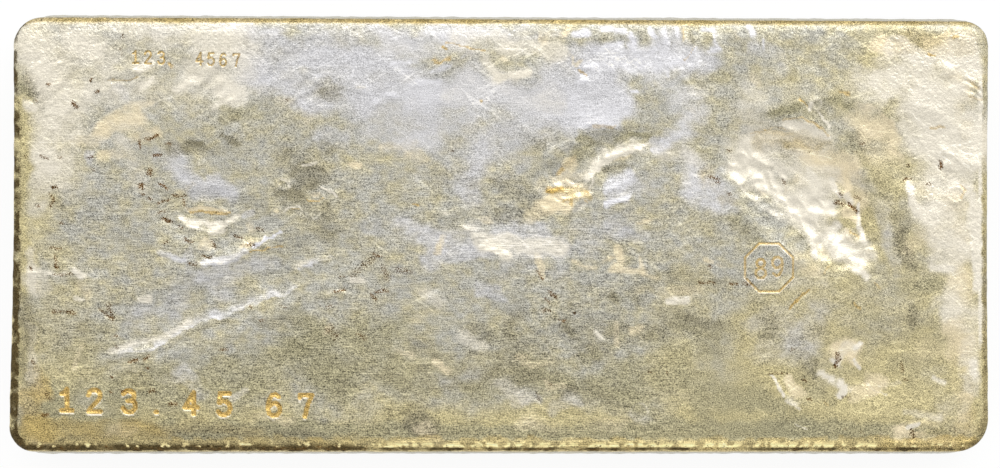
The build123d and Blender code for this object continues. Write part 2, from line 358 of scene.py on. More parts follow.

# Stains by area and finish: how far they reach to each side of their path, their strength, and the path.
# Besides tarnish they hold painted light: cream and frost stains paint highlights on ridges and on walls that
# face the back, and shade and olive stains paint shade under laps and on walls that face the front. Together
# the broad stains make the face paler towards the back and more yellow and olive towards the front.
STAINS = {
    ("whole face", "cool"): (
        (4, 0.3, (-5.9, -26.3), (6.4, -27)), (3.3, 0.25, (1.2, 0.1), (8.4, -0.6)),
        (2.5, 0.2, (10.4, -15.5), (12.2, -17.3)), (2.9, 0.25, (-23.2, 1.7), (-10.6, -1)),
        (2.2, 0.25, (-5.2, -24.9), (5.7, -27)), (2.9, 0.2, (3, 35.9), (6.6, 33.7)),
        (2.5, 0.2, (-14.2, 9.9), (-12, 7.7)), (2.2, 0.2, (-23.2, -16.5), (-20.3, -18.4)),
        (4.3, 0.3, (-4.2, 18), (-3.7, 8)), (5.4, 0.4, (-13.3, -0.1), (3.9, 0.5)),
        (4.7, 0.4, (-21.4, 17.5), (-12.4, 16.7)), (4.7, 0.35, (11.1, 20.3), (18.4, 21.1)),
        (2.9, 0.4, (20.5, 8), (24.1, 8.8)), (7.2, 0.42, (48.6, -17.5), (57.2, -17.5)),
        (4.3, 0.4, (11.1, 20.7), (12, 15.3)), (3.6, 0.3, (-5.2, 8.8), (-3.3, 8)),
        (3.3, 0.4, (-31.4, 17.5), (-28.7, 16.7)), (3.6, 0.5, (-63, 36.3), (-35.9, 35.9), (-7, 35.9)),
        (7.6, 0.75, (-44, 29.7), (-30.5, 28.8), (-12.4, 25.2), (3.9, 25.2), (18.4, 27)),
        (5.4, 0.7, (18.4, 28.8), (29.2, 31.6), (36.4, 35.2)), (5.4, 0.8, (11.1, 22.2), (20.5, 22.9)),
        (5.4, 0.45, (-5.2, 15.3), (5.7, 18.9)), (1.6, 0.6, (28.3, 16.7), (31.9, 17.5)),
        (4, 0.65, (-59.4, 12), (-53.1, 10.6), (-47.1, 8.8)), (1.8, 0.5, (-68.8, 26.1), (-67.4, 25.4)),
        (1.3, 0.5, (-74.2, 14.4), (-73.5, 14.4)), (2.2, 0.5, (-48.9, 37), (-45.7, 35.9)),
        (2.4, 0.6, (-34.4, 31.6), (-28.7, 31.9)), (4, 0.35, (-63, -12.7), (-54, -10)),
        (4.7, 0.35, (-10.6, 11.7), (3.9, 12.6)), (5.4, 0.35, (14.7, -0.1), (25.6, 1.7)),
        (4.3, 0.35, (31, 15.3), (38.2, 15.3)), (4.3, 0.3, (0.3, -8.2), (9.3, -7.3)),
        (2.9, 0.55, (-12.4, -5), (0.3, -1.5), (11.1, -2.4)), (2.2, 0.5, (-3.3, -10), (0.3, -10.9)),
        (2.5, 0.45, (3, -27.2), (5.7, -29.9)), (2.2, 0.35, (9.7, -30.8), (13.8, -29.9)),
        (2.4, 0.35, (18.4, -17.3), (18.4, -20.2)), (2.2, 0.35, (20.2, 1.2), (25.6, -1)),
        (4.3, 0.4, (63.6, 12.6), (68.6, 6.2), (72.6, -5)), (2.2, 0.35, (46.4, 34.3), (51.3, 31.9)),
        (3.6, 0.3, (-21.4, 20.7), (-8.8, 18.9)),
    ),
    ("whole face", "warm"): (
        (5.4, 0.6, (-84.7, -35.4), (-30.5, -35.7)), (5.4, 0.4, (83.5, -24.5), (83.5, -35.4)),
        (10.8, 0.5, (72.6, 33.4), (84.4, 31.6)), (10.8, 0.45, (34.6, -11.8), (54.5, -17.3)),
        (7.2, 0.5, (66.1, 9.9), (67.2, 6.2)), (10.8, 0.5, (34.6, -29.9), (83.5, -29.9)),
        (5.4, 0.35, (42.8, -17.3), (45.5, -18.2)), (5.4, 0.4, (78, -17.3), (83.5, -20)),
        (27.1, 0.6, (69, 8), (72.6, -29.9)), (12.7, 0.3, (54.5, 29.7), (78, 29.7)),
        (10.8, 0.45, (-81.1, 31.6), (-81.1, -33.5)), (7.2, 0.4, (47.3, -17.3), (47.3, -33.5)),
        (7.2, 0.2, (36.4, 20.7), (40.1, 2.6)), (4, 0.9, (-87.6, 22.5), (-88, -35.4)),
        (8.3, 0.9, (-86.5, -37.2), (-17.8, -38.2), (87.1, -37.2)),
        (16.3, 0.4, (-86.5, -29.9), (-26.9, -29.9), (47.3, -29.9)), (4.3, 0.6, (86.2, 6.2), (86.2, -35.4)),
    ),
    ("whole face", "olive_and_shade"): (
        (2.2, 0.35, (64.5, 17.5), (67.2, 17.1)), (3.6, 0.25, (3.9, -25.4), (14.7, -26.3)),
        (2.9, 0.25, (30.1, -26.1), (32.8, -26.3)), (5.1, 0.35, (-21.8, -27.2), (5.7, -26.1), (22.9, -26.1)),
        (3.6, 0.35, (21.1, -8.8), (32.8, -8.8)), (2.9, 0.5, (-85.6, -34.4), (-28.7, -35.7)),
        (3.3, 0.4, (-84.7, -24.5), (-81.5, -28.1)), (4.3, 0.4, (65, 12.6), (70.4, 8)),
        (4, 0.35, (62.1, 18.5), (64.6, 17.5)), (4.3, 0.3, (52.7, -29.9), (56.7, -30.3)),
        (4.7, 0.3, (-19.6, -29.9), (-14.2, -29.6)),
        (9.4, 0.55, (-79.3, -30.8), (-57.6, -27.2), (-35.9, -23.6), (-21.4, -20)),
        (10.8, 0.3, (-14.2, -19.1), (18.4, -19.1), (36.4, -22.7)), (6.1, 0.4, (-68.4, -11.8), (-79.3, -19.1)),
        (5.4, 0.55, (-35.9, -17.3), (-26.9, -28.1)),
        (2.9, 0.7, (-84.7, -37.2), (-44.9, -36.4), (0.3, -36.1), (36.4, -35.7), (83.5, -36.4)),
        (1.8, 0.9, (-82, -33.9), (-78.9, -34.6)), (5.4, 0.4, (-5.2, -29.9), (25.6, -28.1)),
        (6.1, 0.6, (34.6, -29.9), (47.3, -29)), (4, 0.35, (34.6, -18.2), (41, -17.3)),
        (1.8, 0.5, (4.8, -22.7), (7.5, -23.1)), (1.4, 0.45, (16.2, -23.1), (17.3, -22.7)),
        (5.8, 0.35, (40.1, 29.7), (42.8, 22.5), (36.4, 17.1), (42.8, 6.2)),
        (2.5, 0.35, (27.4, 22.2), (25.6, 20.7)), (2.5, 0.35, (65.7, 22.2), (71.7, 20.3)),
        (2.2, 0.55, (71.7, -10), (78.9, -9)), (1.6, 0.45, (65.7, -14), (69.9, -15.5)),
        (2.5, 0.4, (48.2, -17.3), (53.1, -20.9)), (2.9, 0.35, (-50.4, 22.5), (-42.8, 22.2)),
        (1.3, 0.6, (-86.9, 26.1), (-84.7, 25.2)), (0.9, 0.5, (-84.4, 30.1), (-83.8, 30.1)),
    ),
    ("whole face", "shade"): (
        (1.4, 0.3, (-83.6, -33.2), (-82.2, -36.1)), (2.9, 0.2, (-14.2, -26.1), (5.7, -26.1)),
        (2.5, 0.2, (38.6, -8.8), (40.8, -8.8)), (2.5, 0.2, (55.6, -17.5), (58.9, -17.5)),
        (2.2, 0.2, (65, 17.5), (67.2, 17.5)), (2.5, 0.2, (-31.9, 26.1), (-29.4, 26.1)),
        (3.3, 0.22, (-79.3, -35.7), (-35.9, -36.4)), (2.2, 0.25, (-84.7, -24.9), (-82.9, -36.4)),
        (2.2, 0.2, (55.6, 1.5), (58.5, -1.7)), (2.5, 0.2, (49.1, -17.3), (57.2, -18)),
        (1.8, 0.2, (54.5, -25.6), (58.1, -27)), (2.9, 0.3, (-15.6, -33.9), (-9.9, -35.7)),
        (2.5, 0.2, (-6.1, -17.3), (-3, -18.4)), (2.5, 0.2, (11.1, 9.1), (16.5, 7)),
        # painted shadow under the long lap's crest
        (0.54, 0.45, (-69.9, -23.2), (-67, -22.3), (-62.7, -22), (-59.4, -20.5), (-56.5, -18.2),
        (-53.3, -16.9), (-48.9, -15.6)), (2.2, 0.25, (-84.7, -35.7), (-32.3, -36.6)),
        (3.6, 0.4, (63.6, 19.3), (69.3, 16.4)), (2.5, 0.3, (-83.6, 28.7), (-82.2, 23.6)),
        (2.5, 0.25, (-31.2, 27.2), (-29.7, 25)), (3.3, 0.35, (71.7, 35.5), (84.9, 34.1)),
        (2.2, 0.25, (-84.7, -24.5), (-82.5, -36.4)), (2.5, 0.25, (-15.1, -34.3), (-10.6, -35.4)),
        (2.9, 0.2, (-49.5, 34.8), (-46.7, 34.1)), (2.9, 0.25, (56.7, -25.4), (66.8, -26.7)),
        (1.8, 0.25, (56, 0.5), (58.5, -0.6)), (2.5, 0.5, (-85.1, 27.9), (-81.8, 24.3)),
        (3.6, 0.2, (20.2, -8.8), (34.6, -9.1)), (2.9, 0.3, (-39.3, 8.8), (-30.5, -0.1)),
        (2.5, 0.25, (-48.2, 34.8), (-47.5, 34.4)), (3.6, 0.25, (-79.3, -34.8), (-46.7, -35.4)),
        (2.9, 0.25, (-5.2, -17.5), (-3, -17.8)), (3.6, 0.35, (-84.7, -31.7), (-81.1, -36.8)),
        (2.2, 0.3, (-86.2, -11.8), (-85.8, -22.7)), (4.7, 0.22, (-4.2, -17.5), (25.6, -17.5), (49.1, -18.2)),
        (4.7, 0.25, (16.5, -29.9), (22, -29.9)), (4.3, 0.25, (-82.9, -17.3), (-80, -18.2)),
        (4, 0.22, (-13.3, -11.8), (-10.6, -12.2)), (3.6, 0.3, (-37.3, 17.1), (-34.1, 16.2)),
        (2.9, 0.3, (-86.5, -2.8), (-84.7, -17.3), (-85.8, -33.5)),
        (6.1, 0.22, (5.7, -20.9), (25.6, -18.2), (40.1, -17.3)),
        (4.7, 0.25, (-21.4, -27.2), (-14.2, -34.4), (-35.9, -34.4)), (6.1, 0.25, (3, -27.2), (15.6, -26.3)),
        (4.7, 0.22, (25.6, -8.8), (41.9, -8.8)), (3.3, 0.4, (-85.1, -32.6), (-82.9, -37.2)),
        (4.7, 0.22, (-38.6, 13.5), (-32.3, 8), (-29.6, 3.5)),
        (2, 0.4, (-59, 15.6), (-52.5, 15.1), (-47.1, 15.6)), (0.9, 0.7, (-56.1, 16.7), (-54, 16.5)),
        (0.9, 0.7, (-50, 17.8), (-47.1, 16.4)), (2.9, 0.24, (-38.6, 13.5), (-33.7, 11.3), (-35.9, 7.7)),
        (4, 0.3, (-27.8, 8), (-16.9, 7.7)), (1.6, 0.45, (-31.4, 16.2), (-30.1, 15.3)),
        (2.5, 0.45, (1.2, 8.8), (5.3, 7), (8.4, 4.1)), (2.2, 0.5, (0.3, 3.7), (3.9, 3)),
        (1.6, 0.35, (5.3, 17.1), (8, 16.2)), (1.4, 0.35, (-62.7, 25.2), (-61.2, 24.9)),
        (4, 0.3, (-75.7, 5.3), (-69.3, 3.5), (-65.7, 0.5)), (1.4, 0.3, (-50, 21.1), (-48.2, 21.1)),
        (2, 0.35, (-29.6, -23.1), (-27.6, -23.1)), (1.4, 0.35, (-29, -27.4), (-27.8, -27.4)),
        (2.5, 0.4, (-15.1, -20), (-11.5, -21.2)), (2.2, 0.35, (-7.9, -21.2), (-5.2, -21.8)),
        (2.9, 0.3, (-0.6, -11.8), (3.9, -12.7)), (1.6, 0.5, (11.1, -29.4), (13.8, -28.7)),
        (1.6, 0.45, (12, -16.4), (13.8, -17.6)), (2.2, 0.6, (72.6, -0.3), (74.1, -5)),
        (1.6, 0.6, (74.8, -13.7), (75.1, -15.8)), (1.6, 0.3, (68.3, -17.3), (70.8, -19.1)),
        (2.5, 0.3, (46.4, -12.7), (49.1, -15.5)), (1.8, 0.45, (71.7, 3.5), (73.5, 1.7)),
        (1.3, 0.4, (34.6, -15.5), (40.1, -16.2)), (4.3, 0.25, (18.4, -5.5), (11.1, -11.8), (18.4, -13.7)),
        (4.3, 0.22, (3.9, -17.3), (-8.8, -26.3), (-14.2, -29.9)), (1.6, 0.5, (-44, -15.5), (-35.9, -16.4)),
        (2, 0.3, (-79.3, -18.2), (-74.2, -15.8)), (2.5, 0.3, (-5.2, 9), (-10.6, 10.8)),
        (0.9, 0.4, (1.2, -15.8), (2.4, -15.8)), (0.9, 0.5, (20.5, -11.1), (21.4, -12.2)),
    ),
    ("whole face", "cream_and_highlight"): (
        (3.6, 0.15, (82.5, 32.5), (84.5, -11.8)), (4.7, 0.22, (31, 26.1), (57.2, 26.1)),
        (2.2, 0.25, (55.6, 8.8), (58.9, 8.8)), (3.3, 0.2, (80.7, -29.9), (84.4, -34.4)),
        (2.2, 0.3, (-76.8, 19.3), (-72.8, 16.7)), (2.5, 0.25, (54.5, 18.9), (59.2, 15.6)),
        (2.2, 0.25, (73.5, 19.3), (76.2, 15.3)), (1.8, 0.25, (-67, -24.5), (-55.8, -27.2)),
        (2.2, 0.4, (-77.1, 35.2), (-72.1, 33.7)), (1.8, 0.3, (-67.7, 16.7), (-64.5, 8.8)),
        (2.5, 0.25, (55.4, 18.9), (58.5, 16)), (2.2, 0.3, (-84.7, -7.5), (-82.2, -10)),
        # painted highlight on the long lap's side that faces the back
        (0.7, 0.4, (-70.3, -21.2), (-65.7, -19.6), (-60.3, -18.4), (-55.8, -15.8)),
        (3.6, 0.4, (63.6, 27), (68.1, 25.2)), (2.5, 0.4, (-49.5, 26.5), (-46.7, 25.2)),
        (4.3, 0.4, (-83.8, 18.9), (-82.5, 7.1)), (2.9, 0.3, (54.5, -9.1), (58.1, -8.2)),
        (2.5, 0.3, (-79.3, 9.9), (-77.5, 17.1)), (4.7, 0.4, (-55.8, 31.6), (-44.9, 31.2)),
        (3.3, 0.35, (-7, 34.8), (0.3, 33.7)), (5.4, 0.35, (69, 31.6), (78, 31.2)),
        (5.8, 0.4, (78, 25.2), (85.3, 17.1)), (3.6, 0.35, (-76.4, 21.8), (-74.2, 23.2)),
        (3.6, 0.35, (82.5, 3.5), (84.9, -11.8)), (4.3, 0.35, (-82.9, 34.3), (-72.1, 31.6)),
        (4.7, 0.25, (63.6, 22.5), (72.6, 13.5)), (12.7, 0.35, (-79.3, 31.6), (-52.2, 32.5)),
        (8.3, 0.3, (-79.3, 17.1), (-77.5, 8)), (5.4, 0.3, (-5.2, 25.2), (7.5, 25.2)),
        (3.6, 0.3, (73.5, 22.5), (78, 8)),
        (2.4, 0.18, (-85.8, 34.4), (-83.6, 37.5), (-75.7, 38.1), (-63, 37.5), (-46.7, 37)),
        (7.6, 0.3, (-79.3, 25.2), (-63, 22.5), (-47.6, 25.2)), (9, 0.5, (80.7, 27.9), (82.5, 15.3)),
        (5.4, 0.3, (83.1, 11.7), (84.4, -4.6)), (6.5, 0.35, (44.6, 18.9), (47.3, 22.5)),
        (3.3, 0.15, (-84.4, 34.3), (-84.7, 27.9)), (1.3, 0.6, (-85.8, 23.2), (-84.7, 22.9)),
        (4.7, 0.4, (-81.1, 29.7), (-79.3, 20.7), (-82, 13.5)),
        (2, 0.06, (-44.9, 37.2), (-21.4, 36.8), (0.3, 36.8), (11.1, 36.8)),
        (3.6, 0.18, (-63, 34.3), (-14.2, 33.4)), (2.2, 0.5, (11.1, 33), (1.2, 34.3)),
        (0.9, 0.9, (-0.3, 28.3), (5.3, 29.2)), (0.9, 0.7, (-65.2, 29.7), (-63, 31)),
        (0.7, 0.6, (-64.8, 26.5), (-62.7, 27.9)), (0.7, 0.6, (-58.3, 26.1), (-54, 28.7)),
        (0.7, 0.5, (-51.3, 23.1), (-48.6, 24.7)), (0.9, 0.7, (-2.3, 31.6), (-0.3, 29)),
        (2.2, 0.6, (-3.3, -1), (3.9, -1.9), (11.1, -2.4)), (1.1, 0.8, (-2.4, -2.1), (0.3, -2.8), (1.7, -3.9)),
        (1.3, 0.2, (-68.4, -20.9), (-60.3, -18.7), (-54.9, -15.5)), (0.7, 0.6, (-26.5, -8.4), (-24.7, -8.4)),
        (0.7, 0.7, (-76.8, -6.4), (-75.3, -7.7)), (0.7, 0.6, (-76.8, -11.5), (-75.3, -11.8)),
        (0.7, 0.6, (-64.8, -11.8), (-63, -11.7)), (1.1, 0.4, (-84.7, -2.8), (-84.4, -10)),
        (2.5, 0.6, (84.2, 34.8), (85.6, 29.4)), (6.1, 0.55, (75.9, 27.9), (80.7, 21.6), (84.9, 16.2)),
        (1.8, 1, (80.2, 15.6), (83.1, 14.2), (86.3, 13.1)), (1.1, 0.8, (73, 35.2), (75.1, 31.9)),
        (0.9, 0.8, (82.9, 26.5), (83.3, 26.1)), (2.5, 0.4, (68.6, 28.3), (70.8, 26.5)),
        (2.2, 0.5, (71.7, 34.3), (78, 31.6)), (0.9, 0.8, (74.4, 8.8), (75.1, 5.3), (77.3, 3)),
        (1.1, 0.7, (75.9, 4.1), (78.8, 3.3)), (3.6, 0.35, (78.9, 1.7), (83.5, -4.6)),
        (0.9, 0.7, (78.4, -6.1), (82, -6.2)), (0.9, 0.95, (86.2, -0.3), (86.7, -5), (86.7, -10)),
        (1.4, 0.6, (86.3, 6.2), (86, 1.5)), (3.3, 0.4, (80.7, -12.7), (83.8, -15.1), (86.3, -15.8)),
        (1.3, 0.5, (82.5, 9.3), (84.9, 8)), (0.9, 0.7, (30.7, -12.2), (34.3, -11.7)),
        (0.7, 0.6, (17.6, -17.8), (18.7, -18.7)), (2.2, 0.4, (29.2, 15.3), (36.4, 13.5)),
        (0.9, 0.5, (-48.2, -29.9), (-45.7, -28.1)), (2.2, 0.35, (1.2, -27.2), (3.9, -29.6)),
        (2.2, 0.35, (-6.1, -18.2), (-3.7, -20)), (2.2, 0.45, (-13.3, -10.9), (-10.9, -11.8)),
        (1.8, 0.3, (-84.7, -17.3), (-84, -26.3)),
    ),
    ("whole face", "frost_and_highlight"): (
        (0.54, 0.7, (-20.3, 25.4), (-18.5, 25)), (0.47, 0.6, (-22.5, 24.1), (-20.5, 24)),
        (0.54, 0.6, (-16, 27.2), (-10.6, 27.6)), (0.36, 0.5, (-25.9, 27.2), (-22.9, 25.4)),
        (0.43, 0.5, (-19.3, 30.8), (-14.9, 31.2)), (0.43, 0.5, (-12.4, 29.4), (-8.4, 30.5)),
        (4.3, 0.25, (30.1, 8.8), (41, 8.8)), (2.5, 0.3, (-57.6, -24.9), (-54, -28.5)),
        (4.7, 0.35, (31.4, 25.2), (39.2, 8)), (4.3, 0.25, (-14.2, -0.1), (-10.6, -0.3)),
        (4.3, 0.35, (31.9, 18.9), (37.3, 8)), (3.6, 0.3, (-5.2, 34.8), (5.7, 34.8)),
        (4, 0.3, (-13.3, -0.1), (-5.2, 0.8)), (2.9, 0.3, (-17.8, 17.1), (-12.4, 16.7)),
        (2.9, 0.35, (-48.2, 26.5), (-47.1, 25)), (3.6, 0.3, (29.2, 26.1), (36.4, 25.8)),
        (4.7, 0.5, (-21.4, 33.7), (-5.2, 34.4)), (4.3, 0.45, (-17.8, 26.1), (3.9, 25.2)),
        (1.4, 0.2, (-63, 37.5), (-14.2, 37.3)), (1.3, 0.25, (-10.6, 36.6), (11.1, 36.4)),
        (3.3, 0.45, (20.2, 31.6), (34.6, 32.5)), (4, 0.45, (-50, -9.5), (-42, -5)),
        (2.9, 0.25, (-65.7, -16.2), (-58, -14)), (2.5, 0.35, (16.5, 20.7), (22, 21.6)),
    ),
    ("whole face", "tan"): (
        (4.3, 0.3, (82.5, 34.3), (84.5, -11.8)), (3.3, 0.3, (82.5, -15.5), (84.5, -35.4)),
        (2.9, 0.25, (38.2, 8.8), (41.1, 8)), (3.3, 0.3, (47.3, 17.8), (58.5, 16.7)),
        (2.2, 0.2, (38.6, -34.3), (40.8, -35.4)), (2.5, 0.3, (-75.7, 17.5), (-73.5, 17.1)),
        (2.9, 0.35, (83.8, 33.4), (84.5, 18.9)), (2.9, 0.3, (83.5, -1), (83.8, -11.8)),
        (2.9, 0.4, (82.5, -17.5), (84.4, -19.1)), (2.5, 0.3, (4.6, -34.4), (22.2, -34.4)),
        (2.5, 0.35, (69, 34.8), (71.2, 33.4)), (2.9, 0.5, (78, 33.7), (82, 34.8)),
        (4.7, 0.35, (80.7, 6.2), (82.5, 5.3)), (4.3, 0.35, (77.1, -2.8), (78.9, -1.9)),
        (7.2, 0.3, (79.8, -19.1), (83.5, -20)), (5.4, 0.3, (62.7, -22.7), (64.5, -23.6)),
        (4.3, 0.4, (-85.1, -29), (-82.9, -35.4)), (3.6, 0.3, (-82.9, 31.6), (-77.5, 24.3)),
        (2.7, 0.59, (-71.2, 19.3), (-68.1, 20.7), (-65.7, 20.3)), (1.1, 0.49, (-67.4, 23.2), (-62.7, 23.8)),
        (1.4, 0.42, (-71, 13.8), (-68.4, 14.6)), (1.6, 0.39, (-65.9, 16.7), (-62.3, 18.2)),
        (1.6, 0.28, (-84.7, 27.6), (-83.3, 28.7)), (1.6, 0.28, (-78.9, 37), (-77.1, 35.9)),
        (0.9, 0.35, (-73.9, 31.9), (-71.7, 32.3)), (3.1, 0.32, (-39.5, 22.9), (-35.5, 21.4)),
        (1.6, 0.35, (-20.7, 15.8), (-15.6, 17.1)), (2.2, 0.32, (-15.1, 14.9), (-13.3, 13.5)),
        (1.3, 0.28, (-5.5, 17.5), (-3.7, 17.1)), (0.9, 0.56, (-26.5, 12.6), (-25.4, 12.4)),
        (1.1, 0.49, (-3, 2.8), (-1.5, 2.4)), (2.2, 0.32, (9, 35.2), (11.5, 35.5)),
        (0.9, 0.52, (7.5, 35.2), (8.4, 34.3)), (0.7, 0.42, (0.6, 31.9), (1.4, 31.7)),
        (2.9, 0.39, (9, 5.2), (6.6, 3.7)), (0.7, 0.56, (25.6, 2.1), (27.4, 2.3)),
        (1.6, 0.45, (69.3, 34.6), (71.2, 33.7)), (1.6, 0.35, (78.9, 33), (81.6, 35.2)),
        (5.8, 0.38, (66.8, 19.6), (69.7, 14.2)), (1.6, 0.28, (84.9, 25.8), (86.3, 23.2)),
        (1.4, 0.42, (82.5, 7.7), (84.4, 5.3)), (1.6, 0.35, (79.5, 4.4), (80.9, 5.2)),
        (1.3, 0.35, (-75.7, -20.9), (-77.1, -24.1)), (1.1, 0.35, (-84.2, -9.1), (-83.3, -10.4)),
        (1.4, 0.35, (-76, -8.8), (-73.9, -11.1)), (1.6, 0.52, (-69.9, -35.7), (-65.9, -35.4)),
        (1.3, 0.35, (-44, -33.2), (-36.8, -33.9)), (1.1, 0.49, (-11.3, -23.1), (-9.1, -24.9)),
        (0.9, 0.42, (-18.5, -20.9), (-15.3, -22)), (1.1, 0.49, (-10.9, -3.2), (-10.2, -0.6)),
        (2.5, 0.35, (-13.3, -35.4), (-10.6, -36.8)),
        (1.1, 0.59, (21.6, -2.4), (22.3, -5.3), (20.5, -6.4), (25.9, -6.6)),
        (0.7, 0.49, (18.7, -5), (20.5, -4.2)), (0.9, 0.52, (7.1, -3.9), (8, -7.5)),
        (0.7, 0.59, (13.5, -4.8), (15.1, -5.7), (17.6, -6.1)), (0.7, 0.49, (25.6, -4.2), (26.3, -6.1)),
        (0.7, 0.42, (26.3, -7.1), (29.6, -8.2)), (1.8, 0.28, (25.6, -10), (36.4, -10.4)),
        (0.9, 0.35, (21.4, -16.2), (21.4, -19.8)), (1.3, 0.39, (24.9, -18), (26.7, -16.9)),
        (1.3, 0.42, (9, -27.2), (12.2, -27.4)), (1.6, 0.24, (3.9, -22.7), (9.7, -23.1)),
        (0.7, 0.52, (37.5, -4.6), (38.6, -5)), (0.7, 0.42, (39.7, -5.3), (41.1, -6.1)),
        (1.1, 0.35, (62.7, -15.1), (63.6, -15.8)), (1.8, 0.52, (72.6, -36.4), (81.6, -37.9)),
        (1.6, 0.28, (80.9, -15.8), (81.6, -17.3)), (2.2, 0.21, (68.1, -10), (65.4, -11.1)),
        (3.6, 0.21, (-14.2, -15.5), (-5.2, -13.7)), (0.9, 0.42, (-30.5, -16.5), (-31.2, -18)),
    ),
    ("whole face", "amber"): (
        (2.9, 0.22, (-66.6, -25.9), (-64.5, -26.7)), (2.2, 0.25, (-82.9, -24.9), (-82.2, -28.1)),
        (2.5, 0.3, (-84.7, -34.8), (-73, -34.8)), (3.3, 0.45, (-85.6, -35.4), (-63, -36.1)),
        (2.9, 0.5, (-85.1, -29.9), (-82, -36.4)), (3.6, 0.35, (-63, -35.4), (-28.7, -36.4)),
        (2.5, 0.15, (84.2, 35.2), (84.9, 18.9)), (2.5, 0.15, (83.8, 17.1), (85.3, -11.8)),
        (3.3, 0.35, (73.5, 34.8), (85.6, 34.3)), (2.5, 0.25, (83.5, -15.5), (84.5, -36.3)),
        (2.9, 0.38, (47.6, 17.8), (58.1, 16.7)), (2.9, 0.35, (38.2, 10.6), (40.8, 6.2)),
        (2.5, 0.3, (-84.7, -24.9), (-82.9, -28.5)), (2.9, 0.2, (-58.3, -24.9), (-55.8, -27.8)),
    ),
    ("whole face", "ochre"): (
        (2.5, 0.1, (-84.7, -24.9), (-82.9, -28.5)), (2.9, 0.08, (-58.3, -24.9), (-55.8, -27.8)),
        (2.5, 0.1, (37.3, -34.3), (41.9, -35.4)), (2.5, 0.2, (-84.4, -24.5), (-82, -29)),
        (1.8, 0.15, (50, 17.5), (58.1, 16.2)), (0.7, 0.5, (62.1, 25.9), (63.2, 25.4)),
        (0.33, 0.6, (52.7, -13.7), (54.2, -11.8), (56.3, -10)),
        (0.33, 0.6, (-9.5, 34.8), (-6.6, 34.1), (-2.6, 33.2)), (0.54, 0.7, (-10, 34.1), (-9.5, 33.5)),
        (0.63, 0.6, (-11.7, 31.6), (-10.6, 30.8), (-8.8, 31.9)), (0.54, 0.6, (-3.3, 24.3), (-3, 24.1)),
        (0.54, 0.6, (82.9, 35.9), (82.4, 35.5)), (0.54, 0.7, (78, 32.5), (79.1, 32.3)),
        (0.33, 0.5, (-70.6, 27.8), (-68.8, 27.9), (-67, 27.6), (-65.2, 28.5)),
        (0.54, 0.5, (83.5, 8.8), (84.5, 8), (83.8, 6.6)), (0.54, 0.6, (64.5, -12.6), (65.4, -13.3)),
        (0.54, 0.5, (68.3, -9), (69, -9.7)), (0.45, 0.4, (84.9, 27.9), (87.1, 26.5)),
        (0.45, 0.4, (85.3, 25), (87.4, 24.3)), (0.45, 0.6, (-15.6, 5.5), (-14.6, 5.2)),
        (0.7, 0.6, (-59.4, 30.8), (-59, 30.5)), (0.54, 0.5, (78.4, 19.3), (80.6, 19.4)),
    ),
    ("whole face", "rust"): (
        (0.41, 0.9, (-64.1, 17.3), (-62.7, 17.3), (-61.6, 18)), (0.34, 0.9, (-65.2, 16.9), (-64.6, 15.8)),
        (0.41, 0.8, (-60.1, 16.4), (-59.2, 16.2)), (0.41, 0.9, (-62.3, 14.4), (-61.2, 14.4)),
        (0.54, 0.8, (-63, 11.7), (-63.2, 10.8)), (0.54, 1, (-64.6, 9.1), (-64.5, 8.4)),
        (0.41, 1, (-61.2, 9.1), (-59.8, 8.2)), (0.34, 0.9, (-64.6, 7.3), (-64.3, 7.1)),
        (0.41, 0.9, (-80.6, 8.6), (-80, 8.6)), (0.41, 0.8, (-81.1, 7.1), (-80.4, 5.9), (-80.9, 5.2)),
        (0.41, 0.9, (-76.9, 23.8), (-76.4, 22.9)), (0.34, 0.9, (-73, 25.6), (-72.4, 25.8)),
        (0.34, 0.9, (-73.9, 27.8), (-73.5, 28.1)), (0.34, 0.8, (-81.6, 27), (-81.1, 27.2)),
        (0.27, 0.7, (-83.8, 24.3), (-83.6, 24.1)), (0.34, 0.7, (-63.2, 6.4), (-62.7, 6.4)),
        (0.34, 0.7, (-61.6, 5.7), (-60.5, 5.9), (-59.6, 6.2)), (0.34, 0.6, (-61.6, 3.9), (-60.3, 4.1)),
        (0.47, 0.9, (-60.7, 2.8), (-59.4, 2.4)), (0.34, 0.7, (-59, 7), (-58, 6.8), (-56.5, 7)),
        (0.34, 0.7, (-56.9, 6.2), (-56.7, 5.2)), (0.34, 0.7, (-83.6, 5.3), (-82.9, 5.2)),
        (0.34, 0.7, (-82.9, 14.2), (-81.5, 13.7)), (0.34, 0.6, (-79.7, 14), (-79.1, 13.8)),
        (0.34, 0.5, (-85.6, 14.2), (-85.4, 14)), (0.34, 0.5, (-74.2, 13.8), (-73.5, 14)),
        (0.34, 0.5, (-73.5, 11.8), (-73, 11.7)), (0.34, 0.7, (-79.3, 2.1), (-78.9, 1.9)),
        (0.41, 0.7, (-81.1, -2.4), (-79.3, -2.6)), (0.41, 0.8, (-80.2, -3.9), (-79.8, -6.1)),
        (0.34, 0.8, (-84.7, -6.2), (-84.5, -6.4)), (0.27, 0.6, (-80.4, -7.3), (-77.1, -7.3)),
        (0.41, 0.7, (-80.4, -14), (-78.6, -14), (-76.4, -14.4)),
        (0.41, 0.7, (-72.2, -13.7), (-71, -14.7), (-69.9, -14.9)), (0.9, 0.5, (-70.6, -12.9), (-69.9, -15.1)),
        (0.41, 0.7, (-69.3, -18.4), (-69, -18.5)), (0.41, 0.6, (-69.3, -20.3), (-69, -20.5)),
        (0.47, 0.95, (-66.5, -22.9), (-65.6, -22.9)), (0.41, 0.8, (-64.1, -22.7), (-63.2, -22)),
        (0.41, 0.8, (-63.7, -24.1), (-63.4, -24.3)), (0.41, 0.7, (-70.3, -28.5), (-69.9, -28.7)),
        (0.41, 0.7, (-68.3, -28.5), (-67.9, -28.5)), (0.47, 0.7, (-63, -28.3), (-62.3, -28.5)),
        (0.54, 0.6, (-59.4, -30.7), (-58, -30.8)), (0.41, 0.8, (-82.4, -32.8), (-81.5, -32.8)),
